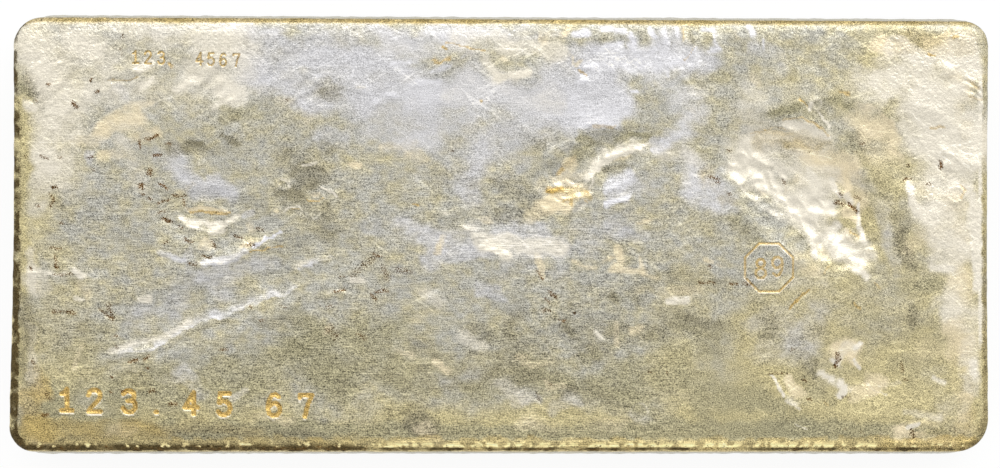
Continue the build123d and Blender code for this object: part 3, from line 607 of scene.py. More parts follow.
        (0.68, 0.4, (-81.8, -29), (-80.9, -29.9)), (0.34, 0.8, (-84.2, -22.9), (-84, -23.4)),
        (0.34, 0.6, (-70.3, -25.9), (-69.9, -26.1)), (0.41, 0.8, (-56.5, -1), (-55.4, -1.4)),
        (0.34, 0.8, (-51.8, -1), (-51.4, -2.4)), (0.34, 0.7, (-53.6, -3.9), (-52.5, -4.2), (-51.8, -3.9)),
        (0.41, 0.7, (-55.8, -5.3), (-54.7, -5.3)), (0.41, 0.8, (-60.8, -1.4), (-59.8, -1.4)),
        (0.34, 0.7, (-58, 1.5), (-57.2, 1.2)), (0.34, 0.7, (-47.8, -0.3), (-46.4, -0.6)),
        (0.34, 0.8, (-45.7, -1.5), (-44.2, -2.1)), (0.41, 0.7, (-50.4, -20.9), (-49.3, -20.9)),
        (0.34, 0.9, (-29.7, -10.4), (-27.9, -10)), (0.41, 0.6, (-43.7, 1.2), (-42.8, 0.8)),
        (0.68, 0.4, (-26.5, -7.5), (-24.3, -5.7), (-22.2, -3.9)), (0.9, 0.45, (-20.7, -6.4), (-20, -7.9)),
        (0.68, 0.4, (-18.5, -6.4), (-15.6, -6.8)), (0.47, 0.7, (-22.5, -3.5), (-21.4, -3.9)),
        (0.41, 0.7, (-22.2, -10.4), (-20, -10.2)), (0.41, 0.7, (-22.9, -11.1), (-22.3, -11.8)),
        (0.34, 0.6, (-28.7, -7.7), (-27.9, -7.7)), (0.41, 0.5, (-30.8, -13.3), (-30.1, -12.9)),
        (1.2, 0.35, (-30.5, -16.9), (-29.4, -18.4)), (0.8, 0.35, (-25.4, -18), (-24, -18.7)),
        (0.34, 0.6, (-44.9, -12.7), (-44.6, -13.3)), (0.34, 0.7, (-43.1, -15.6), (-42.6, -15.6)),
        (0.27, 0.6, (-39.2, -12.9), (-38.4, -13.1)), (0.41, 0.8, (7.1, -6.8), (7.9, -7.9)),
        (0.54, 0.7, (9.3, -10.4), (10.4, -11.5)), (0.41, 0.7, (8.6, -11.7), (9.1, -12.4)),
        (0.41, 0.6, (7.9, -13.8), (9.3, -13.7)), (0.3, 1, (11.1, -15.6), (12.2, -15.6)),
        (0.3, 0.8, (13.7, -14.2), (14, -14.4)), (0.3, 0.9, (38.2, 10.2), (39.7, 10.2)),
        (0.3, 0.8, (39.5, 9.7), (40.1, 9.5)), (0.34, 0.6, (41.7, 15.1), (42.2, 14.9)),
        (0.34, 0.6, (41.7, 7.3), (42, 7.3)), (0.41, 0.9, (73.7, 9.7), (74.4, 9.9)),
        (0.41, 0.7, (77.7, 9.3), (78.2, 9.3)), (0.41, 1, (80, 13.1), (80.2, 12)),
        (0.34, 0.6, (74.1, 12.6), (74.4, 12.6)), (0.34, 0.6, (64.5, 14.9), (64.8, 14.7)),
        (0.34, 0.5, (56.1, 15.1), (56.5, 14.9)), (0.34, 0.7, (51.3, 9.9), (51.6, 9.3)),
        (0.34, 0.5, (61.8, 7.5), (62.1, 7.1)), (0.47, 0.8, (61, 5.9), (62.5, 5.5)),
        (0.54, 0.9, (63.7, 5.5), (65, 4.1)), (0.41, 0.6, (64.6, 7), (65.4, 6.4)),
        (0.34, 0.6, (65.4, 16.4), (66.3, 16.4)), (0.34, 0.6, (38.2, -5.7), (38.6, -6.1)),
        (0.34, 0.7, (36.4, -8.8), (39, -8.8)), (0.34, 0.8, (41.9, -9), (43.3, -9)),
        (0.34, 0.6, (44.4, -9), (45.8, -9.1)), (0.41, 0.8, (61.4, -21.6), (61.6, -23.1), (61, -24.1)),
        (0.34, 0.7, (55.2, -26.5), (55.6, -26.5)), (0.34, 0.7, (56.1, -29.9), (56.5, -30.1)),
        (0.41, 0.6, (73, -23.1), (73.3, -24.9)), (0.34, 0.6, (73.5, -26.1), (74.1, -26.1)),
        (0.34, 0.6, (53.1, -20.9), (53.3, -20.9)), (0.34, 0.6, (62.7, -35.4), (63, -35.4)),
        (0.34, 0.5, (65.7, -35.9), (66.1, -36.1)), (0.54, 0.5, (74.8, -35.4), (75.1, -36.8)),
        (0.34, 0.5, (9.3, -27.2), (9.5, -27.4)), (0.34, 0.6, (30.5, -25), (30.7, -25.2)),
        (0.34, 0.5, (27.2, -24.7), (27.6, -24.9)), (0.34, 0.5, (7.1, -28.8), (7.3, -29.9)),
        (0.34, 0.6, (-38.4, 24.5), (-38.1, 24.3)), (0.3, 0.5, (-68.1, 36.1), (-67.9, 35.7)),
        (0.3, 0.5, (-68.3, 33.7), (-68.1, 32.3)), (0.3, 0.5, (-8.8, 15.3), (-8.4, 15.3)),
        (0.34, 0.5, (62.1, -29.4), (63.6, -29.4)), (0.34, 0.4, (82.5, -35.7), (82.7, -35.7)),
        (0.34, 0.4, (49.1, -25.2), (52.7, -25.2)), (0.27, 0.5, (-50, -20.9), (-48.6, -20.7)),
    ),
    ("right hollow", "olive_and_shade"): (
        (0.43, 0.4, (42.9, 9.5), (44.4, 8.4), (46.2, 7.3)),
        (0.47, 0.4, (49.5, 5.2), (51.3, 3.7), (53.8, 2.3)),
        (0.43, 0.35, (54.2, 1.2), (55.2, -1), (56.7, -2.8)), (0.54, 0.35, (61.4, -6.8), (63.9, -7.3)),
        # Painted shade along the hollow's brow, which faces the front
        (1.6, 0.55, (47.6, 20.7), (51.8, 22.5), (56.7, 23.8), (61.8, 24.3), (66.1, 23.8)),
        (1.3, 0.5, (49.1, 21.2), (51.8, 22.5), (54.5, 23.1)), (1.4, 0.4, (47.3, 14.9), (52.7, 15.3)),
        (2.9, 0.25, (44.6, 1.7), (49.1, -2.8)),
    ),
    ("right hollow", "shade"): (
        (1.6, 0.45, (46.9, 16), (50.9, 15.6), (53.8, 14.9)), (1.1, 0.4, (43.3, 12.9), (44.8, 11.3)),
        (1.8, 0.3, (65.7, 8), (68.1, 3.5)), (2.2, 0.3, (49.1, 2.3), (42.8, 1.2)),
    ),
    ("right hollow", "tan"): (
        (0.47, 0.6, (44.4, 12.4), (45.1, 10.9), (44.4, 9.5)),
        (0.43, 0.6, (46.7, 9), (47.3, 7.9), (48.2, 7.3)), (0.43, 0.6, (52, 9), (52.4, 7.9), (51.6, 6.6)),
        (0.47, 0.6, (58.5, 3.7), (59.9, 3.5), (61.4, 4.1)),
        (0.47, 0.6, (57.8, -1.5), (58.7, -2.8), (58.1, -4.4)),
        (0.43, 0.55, (60.3, -1.5), (61.2, -2.3), (62.8, -2.1)),
        (0.43, 0.55, (62.8, 0.8), (63.6, -0.8), (64.6, -2.1)),
        (0.47, 0.5, (66.8, -2.4), (67, -5), (65.7, -6.6)),
        (0.47, 0.6, (62.7, 10.8), (63.6, 9.1), (62.8, 7.5)),
        (0.4, 0.5, (53.1, 4.1), (54.5, 3.9), (55.6, 4.2)),
        (0.43, 0.5, (45.5, 13.5), (46.2, 11.7), (45.8, 9.9)),
        (4.3, 0.5, (53.6, 14.9), (62.7, 13.5), (63.6, 8)), (2.5, 0.4, (63.6, 20.7), (69, 19.3)),
        (2.9, 0.5, (57.2, 14.2), (63.6, 12.6)), (1.6, 0.6, (62.1, 10.6), (63, 8.8)),
        (1.3, 0.5, (62.8, 3.7), (64.6, 3.3)), (1.1, 0.5, (58.9, -1.9), (59.2, -3.9)),
        (2.9, 0.35, (54.5, -4.2), (57.2, -6.1)), (0.8, 0.6, (46.9, 17.8), (49.5, 18.2), (52.7, 18)),
        (0.54, 0.5, (48.9, 10.2), (49.1, 8.4)), (2.2, 0.3, (54.5, 9.9), (58.5, 8)),
    ),
    ("right hollow", "cream_and_highlight"): (
        # Mostly painted highlights on the walls of the dents that face the back
        (0.7, 0.7, (46.7, 10.6), (46.9, 9.1)), (0.7, 0.6, (53.6, 3.7), (55.6, 3.3)),
        (0.9, 0.6, (63.2, 7), (63.9, 5.9)), (0.54, 0.7, (61, -2.8), (62.8, -3.2)),
        (4.7, 0.42, (44.6, 13.5), (50, 7.1), (56.7, 2.3), (63.6, -3.2)),
        (2.9, 0.45, (47.3, 15.3), (54.5, 12.6), (60.3, 10.2)), (2.9, 0.35, (44, 16.2), (45.1, 12.6)),
        (3.6, 0.35, (52.7, 9.9), (58.1, 7.1)), (3.6, 0.4, (52.7, 5.2), (59.6, 0.5), (63.6, -3.9)),
        (1.1, 1, (42.4, 12.2), (43.7, 10.4)), (0.8, 1, (48, 10.4), (48, 8.6)),
        (0.54, 1, (49.5, 10.8), (50, 9.1)), (1.1, 1, (50.7, 8), (50.9, 7.1)),
        (0.54, 0.9, (51.4, 11.5), (51.6, 10.2)), (1.1, 0.55, (52.9, 5.3), (54, 4.6)),
        (2.2, 0.7, (56.3, 5.3), (58.9, 5)), (1.3, 0.8, (59, 5), (60.3, 4.8)),
        (0.9, 0.85, (55.6, 2.6), (56.7, 0.8)), (0.7, 0.8, (56.7, 0.5), (57.6, -1)),
        (1.1, 0.85, (61.4, 1.7), (60.3, -0.3)), (0.9, 0.8, (60.1, -0.8), (62.3, -1.2)),
        (0.4, 0.9, (65.2, 5.3), (65.4, 1.7)), (0.63, 0.85, (65.4, 1.2), (66.5, -1.5)),
        (0.7, 0.85, (56.9, -1.7), (57.4, -3.9)), (2.5, 0.4, (62.1, -3), (65, -5.3)),
        (0.63, 0.8, (64.8, -6.2), (66.8, -7.7)),
        (1.1, 0.5, (45.8, 17.5), (44.6, 16), (44.6, 13.8), (46, 12.7)),
        (0.8, 0.9, (52, 20), (54.9, 19.4), (57.4, 18.4), (59.6, 17.5)),
        (0.7, 0.5, (47.6, 17.6), (50, 17.5), (53.1, 17.3)), (0.45, 0.9, (60.5, 9.7), (61, 8), (61.9, 7)),
        (0.9, 0.6, (56.3, 11.3), (57.4, 9.5)), (0.36, 0.7, (56.7, 23.8), (56.5, 22.5)),
        (0.24, 0.6, (57.8, 22.2), (59.9, 19.4)),
    ),
    ("right hollow", "ochre"): (
        (0.4, 0.45, (51.6, 20.7), (54.5, 21.1), (56.7, 20.5), (58.5, 19.3), (59.9, 17.8)),
        (0.47, 0.3, (56, 20.5), (58.1, 19.3)), (0.4, 0.4, (48.4, 18.9), (50.2, 19.4), (52, 19.1)),
        (0.24, 0.5, (45.7, 18), (46.9, 18.7), (48.4, 18.9)), (0.33, 0.6, (54.5, 24.5), (56, 23.2)),
        (0.45, 0.5, (63.7, 0.6), (65.4, -0.6)), (0.45, 0.4, (58.9, -7.1), (59.8, -5.9)),
    ),
    ("middle pit", "amber"): (
        (1.6, 0.45, (10.4, 8.8), (13.7, 7)), (2.5, 0.25, (10.4, 7.3), (15.5, 6.6)),
        (0.9, 0.4, (15.1, 8), (16.5, 6.6)),
    ),
    ("middle pit", "olive_and_shade"): (
        # Painted shade along the brow above the crest, which faces the front
        (1.4, 0.35, (15.8, 18.4), (20.5, 18.7)),
        (1.3, 0.35, (15.5, 16.2), (18.4, 17.1), (23.8, 17.8), (26.5, 17.6)),
        (1.6, 0.35, (14.4, 13.5), (16.5, 15.1)), (0.7, 0.4, (23.8, 18.2), (27.4, 18)),
    ),
    ("middle pit", "shade"): (
        # Painted shade under the brow and on the basin's upper wall, which face the front
        (1.1, 0.2, (16.5, 17.5), (20.9, 17.6)), (0.9, 0.6, (19.1, 11.7), (21.1, 12), (24.1, 12.4)),
        (0.7, 0.35, (19.4, 7.1), (20.9, 7.1)), (0.9, 0.4, (18, 16), (19.1, 16.4)),
    ),
    ("middle pit", "cool"): (
        (2.4, 0.55, (20.5, 8.8), (23.1, 10.6)), (1.8, 0.3, (11.1, 15.3), (8.4, 17.1)),
    ),
    ("middle pit", "frost_and_highlight"): (
        # Painted highlights on the basin's lower wall and on folds, which face the back
        (0.7, 0.7, (19.4, 5.5), (21.1, 6.1), (23.4, 6.6)), (0.7, 0.5, (19.4, 7.7), (20.9, 8.4)),
        (0.47, 0.8, (27.9, 15.1), (29.2, 15.1), (30.7, 16.2)), (0.33, 0.5, (29.2, 16.9), (30.7, 17.5)),
        (1.4, 0.35, (22.3, 9.1), (23.4, 7.7)),
    ),
    ("middle pit", "tan"): (
        (4, 0.35, (10.4, 7), (14.7, 7.7)), (2.5, 0.35, (9.7, 6.6), (15.5, 7.3)),
        (1.4, 0.5, (10.4, 10.2), (13.3, 12.6)), (2.2, 0.55, (9, 6.2), (11.5, 5.2)),
        (2, 0.45, (12.2, 8), (15.1, 7.3)), (1.3, 0.35, (12.9, 10.2), (15.5, 10.6)),
        (0.54, 0.5, (20.9, 13.3), (23.8, 14.2)),
    ),
    ("middle pit", "cream_and_highlight"): (
        # Mostly painted highlights on the crest's side that faces the back
        (0.9, 1, (19.6, 13.5), (21.1, 14.4), (23.2, 15.1), (25.4, 15.8)),
        (0.54, 1, (17.8, 11.8), (19.1, 13.1)), (0.45, 0.9, (25.6, 16), (27, 16.2)),
        (0.27, 0.8, (17.1, 10.8), (17.3, 9.3), (16.5, 8.2)), (0.36, 0.4, (13.7, 7.9), (15.3, 7.3)),
        (0.33, 0.4, (10.4, 9.9), (11.7, 9.1)), (0.29, 0.4, (13.3, 9.1), (14.7, 9.7)),
        (0.7, 0.3, (15.8, 5.5), (13.7, 4.4)),
    ),
    ("middle pit", "ochre"): (
        (0.9, 0.55, (9.1, 8.2), (11.5, 7.9)), (1.1, 0.3, (11.1, 11.5), (12.7, 12.6), (13.7, 13.8)),
        (0.58, 0.45, (10.4, 10.8), (11.5, 11.7)), (0.54, 0.7, (8.8, 7.7), (10.4, 8), (11.5, 8.4)),
        (0.4, 0.6, (11.5, 6.1), (13.5, 6.2), (13.1, 5.3)), (0.29, 0.5, (13.3, 8.2), (14.7, 8.6)),
        (0.33, 0.6, (15.8, 8), (16.4, 7.5)), (0.29, 0.5, (15.5, 6.1), (16.2, 5.7)),
        (0.7, 0.4, (17.3, 19.6), (20.9, 19.4)),
    ),
    ("left crest", "cool"): (
        (1.6, 0.5, (-51.8, 9.9), (-48.6, 8.8)), (1.4, 0.4, (-55.8, -3.2), (-56.9, -4.2)),
    ),
    ("left crest", "shade"): (
        (1.6, 0.35, (-35.9, 9.5), (-31.2, 9.9)), (0.9, 0.4, (-40.1, 7.5), (-35.9, 7.3)),
        (1.3, 0.4, (-36.3, 11.7), (-31.9, 11.7)), (0.9, 0.4, (-45.7, 5.2), (-44.6, 4.4)),
        (1.6, 0.35, (-31.4, 4.8), (-30.5, 3.7)),
    ),
    ("left crest", "tan"): (
        (0.63, 0.6, (-56.1, 4.2), (-53.1, 4.6), (-49.3, 4.1)), (1.4, 0.55, (-53.6, -1.9), (-52.5, -2.1)),
        (1.3, 0.35, (-57.6, 8), (-55.8, 8.8)), (0.54, 0.5, (-46.7, -2.3), (-44.6, -1.4)),
        (0.63, 0.5, (-40.2, 4.2), (-40.1, 4.1)), (0.7, 0.4, (-32.6, 7.3), (-33.4, 7)),
        (1.1, 0.4, (-44.9, 1.9), (-44.6, 0.8)),
    ),
    ("left crest", "frost_and_highlight"): (
        (0.9, 0.5, (-61.2, -3.3), (-57.2, -4.8)), (0.9, 0.5, (-53.1, -5.2), (-47.8, -4.4), (-45.7, -3)),
        (0.36, 0.9, (-44.6, -2.4), (-42.8, -1.4), (-42, -0.6)), (0.24, 0.8, (-42, -0.6), (-39.2, 0.3)),
        (0.54, 0.5, (-36.3, -6.4), (-34.1, -5.3)), (0.7, 0.35, (-33.7, -5), (-30.1, -4.1)),
        (0.9, 0.4, (-46, 3.5), (-44.6, 3.9)),
    ),
    ("left crest", "cream_and_highlight"): (
        # Mostly painted highlights on the crest's wall that faces the back
        (0.61, 0.6, (-57.6, 3), (-55.4, 2.4), (-53.1, 2.4)), (0.8, 0.7, (-52.5, 1.7), (-50, 1.9)),
        (0.51, 0.65, (-48.9, 2.4), (-46.9, 3.5)), (0.8, 0.5, (-52.2, 0.3), (-50, 0.6)),
        (0.54, 0.7, (-56.1, 1.7), (-54.5, 1.5)),
        (0.25, 0.8, (-38.8, 3.9), (-37.7, 5), (-36.1, 5.2), (-35.4, 4.4)),
        (0.22, 0.9, (-32.5, 8.4), (-30.5, 7.9), (-29.2, 7)), (0.54, 0.5, (-35.5, 12.6), (-33, 12.9)),
        (0.25, 0.6, (-39.5, 9.9), (-38.2, 9.5), (-37.9, 8.4)),
    ),
    ("left crest", "ochre"): (
        (0.45, 0.6, (-56, 3.9), (-54, 4.2), (-51.3, 3.9), (-48.6, 3.9)),
        (0.22, 0.6, (-34.8, 6.4), (-34.4, 5.9), (-32.6, 6.1), (-31.6, 6.6)),
        (0.27, 0.6, (-44.9, -3.2), (-42.8, -2.8), (-38.8, -2.1)), (0.22, 0.5, (-37.5, 4.6), (-35.9, 4.6)),
    ),
    ("front right", "olive_and_shade"): (
        (2.2, 0.4, (59.9, -29.9), (57.4, -28.5)), (2.5, 0.3, (71.7, -23.4), (77.1, -24.1)),
        (1.8, 0.3, (74.8, -27), (76.2, -27.8)), (2.9, 0.4, (51.8, -34.6), (59, -33.9)),
    ),
    ("front right", "shade"): (
        (2.2, 0.4, (54.2, -20), (56.7, -23.4)), (0.7, 0.6, (56.7, -24.7), (57.6, -25.8)),
        (1.4, 0.35, (58.5, -28.5), (60.3, -29.6)), (0.9, 0.35, (77.1, -15.8), (79.1, -16.9)),
    ),
    ("front right", "tan"): (
        (1.8, 0.55, (53.1, -26.7), (54.5, -28.8)), (2, 0.6, (61.4, -20.9), (64.1, -20.5)),
        (2.5, 0.45, (65, -28.5), (69, -26.7)), (0.9, 0.5, (62.8, -21.2), (65, -23.6)),
        (2.2, 0.35, (73.5, -35), (79.8, -33.5)), (1.4, 0.35, (69.7, -36.4), (72.6, -35.4)),
        (1.6, 0.35, (84.4, -29.6), (84.5, -32.6)),
    ),
    ("front right", "cream_and_highlight"): (
        (0.29, 0.8, (49.3, -25.4), (50.7, -27.6), (51.6, -29.2)), (0.29, 0.45, (52, -29.9), (54.5, -31.7)),
        (0.25, 0.6, (53.6, -34.3), (55.8, -35.4)), (0.42, 0.9, (64.6, -20.7), (65.7, -19.8)),
        (0.63, 0.9, (60.5, -22.7), (61.4, -23.4)), (1.3, 0.4, (61.8, -21.4), (63.6, -20.3)),
        (0.4, 0.75, (64.5, -22.7), (65.4, -24.5)), (0.8, 0.65, (58.5, -25.2), (60.3, -26.3)),
        (0.8, 0.8, (61.9, -26.9), (62.7, -28.3), (61.9, -29.2)),
        (0.33, 0.5, (66.8, -27), (68.3, -28.5), (70.4, -29)), (0.7, 0.35, (69, -27.4), (72.6, -27)),
        (2.2, 0.4, (85.4, -20), (85.6, -28.1)), (0.7, 0.8, (85.8, -23.1), (86.2, -25.4)),
        (0.54, 0.6, (74.1, -35), (75.9, -34.3)), (0.54, 0.4, (78.9, -26.1), (80.7, -26.9)),
        (1.1, 0.35, (73.7, -32.1), (79.8, -33.2)),
    ),
    ("front right", "ochre"): (
        (2.2, 0.3, (75.3, -36.6), (83.5, -35.7), (85.8, -32.6)), (0.36, 0.4, (59.2, -30.3), (59.6, -31)),
        (0.27, 0.4, (52.7, -13.3), (54, -12)),
    ),
    ("back folds", "shade"): (
        # Painted shade between the folds of the back
        (0.43, 0.55, (25.6, 36.8), (25.9, 34.1)), (0.43, 0.4, (31.4, 35.2), (31, 33)),
        (0.54, 0.4, (34.6, 37.3), (35.2, 34.8)), (0.7, 0.35, (44.4, 36.6), (44.8, 34.1)),
        (0.54, 0.5, (28.8, 33), (29.9, 30.8)), (0.54, 0.4, (19.4, 35.9), (19.1, 34.8)),
        (0.54, 0.4, (14.9, 34.4), (15.8, 33.7)),
    ),
    ("back folds", "tan"): (
        (0.9, 0.5, (11.8, 36.3), (12.9, 37.3)), (0.45, 0.5, (33.4, 37.3), (33.7, 35.5)),
        (0.63, 0.45, (13.1, 32.5), (14, 30.5), (15.1, 31.6)), (0.7, 0.4, (42.8, 36.6), (43.7, 35.2)),
        (1.1, 0.35, (45.8, 28.7), (46.9, 27.2)), (0.9, 0.3, (34.6, 23.2), (35.4, 21.8)),
    ),
    ("back folds", "frost_and_highlight"): (
        # Mostly painted highlights on the sides of the folds that face the light
        (0.9, 0.9, (14, 36.3), (16.2, 36.4)), (0.63, 0.75, (18.7, 37.2), (22.7, 36.8)),
        (0.54, 0.8, (24.1, 36.1), (24.5, 34.4)), (0.54, 0.9, (27.6, 37.3), (28.3, 35.5)),
        (0.43, 0.5, (29.9, 37), (30.5, 34.4)), (0.43, 0.7, (32.3, 37.3), (32.6, 35.7)),
        (0.65, 0.7, (36.8, 37), (38.6, 37)), (0.54, 0.6, (39.3, 36.6), (39.3, 33.7)),
        (0.7, 0.7, (38.2, 33.2), (40.1, 33.4)), (0.65, 0.7, (45.3, 37.7), (46.2, 36.4)),
        (0.27, 0.8, (26.5, 31.9), (27.6, 32.8), (29, 33.9)),
        (0.27, 0.5, (30.7, 28.8), (31.4, 30.8), (33.5, 31.6)),
        (0.25, 0.7, (33.2, 31.4), (34.6, 32.5), (35.9, 33.9)),
        (0.54, 0.7, (17.6, 33), (20.5, 34.1), (22.3, 34.6)),
        (0.33, 0.7, (23.4, 34.3), (24.9, 32.8), (25.6, 31.9)), (0.7, 0.85, (15.8, 30.3), (17.8, 30.5)),
        (0.7, 0.85, (14.6, 27.6), (16, 27.9)), (0.27, 0.85, (21.6, 25.4), (25.2, 25.9)),
        (1.8, 0.35, (19.8, 31.2), (25.9, 30.1)), (0.36, 0.5, (47.8, 35.2), (48, 33.7)),
        (2.2, 0.3, (13.8, 22.9), (19.8, 22.2)), (0.36, 0.5, (45.1, 33.4), (44.9, 32.6)),
    ),
    ("back folds", "ochre"): (
        (0.36, 0.6, (14.7, 29.6), (15.8, 28.8)), (0.22, 0.5, (33.4, 31.6), (34.8, 32.6), (35.4, 34.1)),
        (0.29, 0.4, (33.5, 37.2), (33.7, 35.7)),
    ),
}

# The strokes of the plain digits that are punched in the face, in a box that is one high and one wide
DIGITS = {
    "1": [[(0.18, 0.78), (0.38, 0.84), (0.55, 1.0), (0.55, 0.0)], [(0.15, 0.0), (0.95, 0.0)]],
    "2": [
        [(0.06, 0.74), (0.16, 0.92), (0.38, 1.0), (0.62, 1.0), (0.85, 0.9), (0.93, 0.73), (0.82, 0.55)],
        [(0.82, 0.55), (0.5, 0.34), (0.2, 0.14), (0.05, 0.0), (0.95, 0.0)],
    ],
    "3": [
        [(0.08, 0.86), (0.3, 0.99), (0.6, 1.0), (0.85, 0.88), (0.86, 0.7), (0.7, 0.56), (0.4, 0.53)],
        [(0.7, 0.55), (0.92, 0.42), (0.94, 0.2), (0.75, 0.04), (0.45, 0.0), (0.2, 0.05), (0.04, 0.2)],
    ],
    "4": [[(0.7, 0.0), (0.7, 1.0), (0.04, 0.3), (0.98, 0.3)]],
    "5": [
        [(0.88, 1.0), (0.2, 1.0), (0.13, 0.56), (0.4, 0.64), (0.65, 0.62), (0.88, 0.48)],
        [(0.88, 0.48), (0.94, 0.28), (0.8, 0.08), (0.5, 0.0), (0.22, 0.03), (0.05, 0.17)],
    ],
    "6": [
        [(0.84, 0.88), (0.6, 1.0), (0.34, 0.95), (0.12, 0.7), (0.06, 0.35), (0.15, 0.1), (0.42, 0.0)],
        [(0.42, 0.0), (0.72, 0.03), (0.92, 0.2), (0.9, 0.42), (0.68, 0.58), (0.4, 0.57), (0.12, 0.4)],
    ],
    "7": [[(0.05, 0.88), (0.05, 1.0), (0.95, 1.0), (0.62, 0.55), (0.42, 0.0)]],
    "8": [
        [
            (0.5, 0.54), (0.2, 0.65), (0.15, 0.84), (0.35, 0.99), (0.65, 0.99), (0.85, 0.84), (0.8, 0.65),
            (0.5, 0.54),
        ],
        [
            (0.5, 0.54), (0.12, 0.4), (0.06, 0.18), (0.28, 0.01), (0.72, 0.01), (0.94, 0.18), (0.88, 0.4),
            (0.5, 0.54),
        ],
    ],
    "9": [
        [(0.16, 0.12), (0.4, 0.0), (0.66, 0.05), (0.88, 0.3), (0.94, 0.65), (0.85, 0.9), (0.58, 1.0)],
        [(0.58, 1.0), (0.28, 0.97), (0.08, 0.8), (0.1, 0.58), (0.32, 0.42), (0.6, 0.43), (0.88, 0.6)],
    ],
    ".": [[(0.42, 0.05), (0.5, 0.05)]],
}

# Rows of punched digits: the digits, the places of their middles along X, the Y of the first and of the last
# one's foot, the height and the width of a digit, and the width and the depth of a stroke
WEIGHT_ROW = dict(
    digits="123.4567", across=(-78.2, -73.1, -66.8, -61.8, -55.6, -49.6, -40.6, -34.8),
    first_foot=-31.9, last_foot=-33.0, height=3.9, width=2.5, stroke=0.64, depth=0.36)
FINENESS_ROW = dict(
    digits="123.4567", across=(-65.7, -63.4, -61.0, -59.4, -54.1, -52.0, -49.8, -47.4),
    first_foot=31.0, last_foot=30.4, height=2.2, width=1.25, stroke=0.32, depth=0.16)
ASSAY_ROW = dict(
    digits="89", across=(47.5, 50.5), first_foot=-7.9, last_foot=-7.5,
    height=3.4, width=2.1, stroke=0.42, depth=0.16)
ASSAY_FRAME = dict(centre=(49.0, -6.0), sides=8, radius=4.7, turn=22.5, stroke=0.36, depth=0.14)


# How the block's mesh is divided
RIM_STEPS, WALL_STEPS, FOOT_STEPS = 6, 6, 4
FLOOR_MARGIN = 6.0  # the underside keeps its fine mesh this far in from the fill line
FACE_DEPTH = 0.6  # what lies less than this below the top of the bar is the cast face
THIN_STROKE = 0.5  # a punched stroke that is narrower than this gets the finest mesh

# How far round a punched stroke, a thin one, a narrow stain and a ring the mesh is made finer
PUNCH_MARGIN, THIN_MARGIN, STAIN_MARGIN, RING_MARGIN = 0.25, 0.1, 0.5, 0.6


def wall_section(sizes):
    """The section from the cast face down to the underside: outsets from the fill line, and heights."""
    wall_top = BAR_TOP - sizes.shoulder_drop
    rim_turn = math.pi / 2 - sizes.draft - sizes.shoulder_slope
    rim_tangent = sizes.rim * math.tan(rim_turn / 2)
    rim_outset = rim_tangent * math.sin(sizes.draft) - wall_top * math.tan(sizes.draft)
    rim_outset -= sizes.rim * math.cos(sizes.draft)
    rim_height = wall_top - rim_tangent * math.cos(sizes.draft) - sizes.rim * math.sin(sizes.draft)
    foot_turn = math.pi / 2 + sizes.draft
    foot_outset = -sizes.meniscus * math.tan(foot_turn / 2)

    def arc(outset, height, radius, start, turn, steps):
        angles = [start - turn * step / steps for step in range(steps + 1)]
        return [(outset + radius * math.cos(a), height + radius * math.sin(a)) for a in angles]

    rim = arc(rim_outset, rim_height, sizes.rim, math.pi / 2 - sizes.shoulder_slope, rim_turn, RIM_STEPS)
    foot = arc(foot_outset, sizes.meniscus, sizes.meniscus, sizes.draft, foot_turn, FOOT_STEPS)
    (rim_end, rim_low), (foot_start, foot_high) = rim[-1], foot[0]
    shares = [step / WALL_STEPS for step in range(1, WALL_STEPS)]
    wall = [(rim_end + (foot_start - rim_end) * s, rim_low + (foot_high - rim_low) * s) for s in shares]
    return rim + wall + foot


def select_faces(bar, chosen):
    """Selects the faces of a mesh that a list of true and false gives, and nothing else."""
    bpy.ops.object.mode_set(mode="EDIT")
    bpy.ops.mesh.select_mode(type="FACE")
    bpy.ops.mesh.select_all(action="DESELECT")
    bpy.ops.object.mode_set(mode="OBJECT")
    bar.data.polygons.foreach_set("select", chosen)
    bpy.ops.object.mode_set(mode="EDIT")


def face_centres(bar):
    """The middle of each face of a mesh, in millimetres."""
    centres = np.empty(len(bar.data.polygons) * 3)
    bar.data.polygons.foreach_get("center", centres)
    return centres.reshape(-1, 3) / MM


def vertex_places(bar):
    """The place of each vertex of a mesh, in metres."""
    places = np.empty(len(bar.data.vertices) * 3)
    bar.data.vertices.foreach_get("co", places)
    return places.reshape(-1, 3)


def near_path(x, y, path):
    """How far places lie from a path, whether they lie on its left, and how far along it they are, 0 to 1."""
    points = np.array(path, dtype=float)
    runs = np.diff(points, axis=0)
    lengths = np.hypot(runs[:, 0], runs[:, 1])
    starts = np.concatenate([[0], np.cumsum(lengths)])
    nearest = np.full(x.shape, np.inf)
    side = np.zeros(x.shape)
    share = np.zeros(x.shape)
    for (px, py), (dx, dy), length, start in zip(points, runs, lengths, starts):
        along = np.clip(((x - px) * dx + (y - py) * dy) / length**2, 0, 1)
        distance = np.hypot(x - px - along * dx, y - py - along * dy)
        closer = distance < nearest
        nearest = np.where(closer, distance, nearest)
        side = np.where(closer, np.sign(dx * (y - py) - dy * (x - px)), side)
        share = np.where(closer, (start + along * length) / starts[-1], share)
    return nearest, side, share


def around(x, y, path, reach):
    """The numbers of the places that lie in a path's box, widened by a reach."""
    low = np.min(path, axis=0) - reach
    high = np.max(path, axis=0) + reach
    return np.nonzero((x > low[0]) & (x < high[0]) & (y > low[1]) & (y < high[1]))[0]


def smooth(value):
    """A smooth step from 0 to 1."""
    value = np.clip(value, 0, 1)
    return value * value * (3 - 2 * value)


def ramp(value, start, end):
    """A smooth step from 0, where a value is at the start, to 1, where it is at the end."""
    return smooth((value - start) / (end - start))


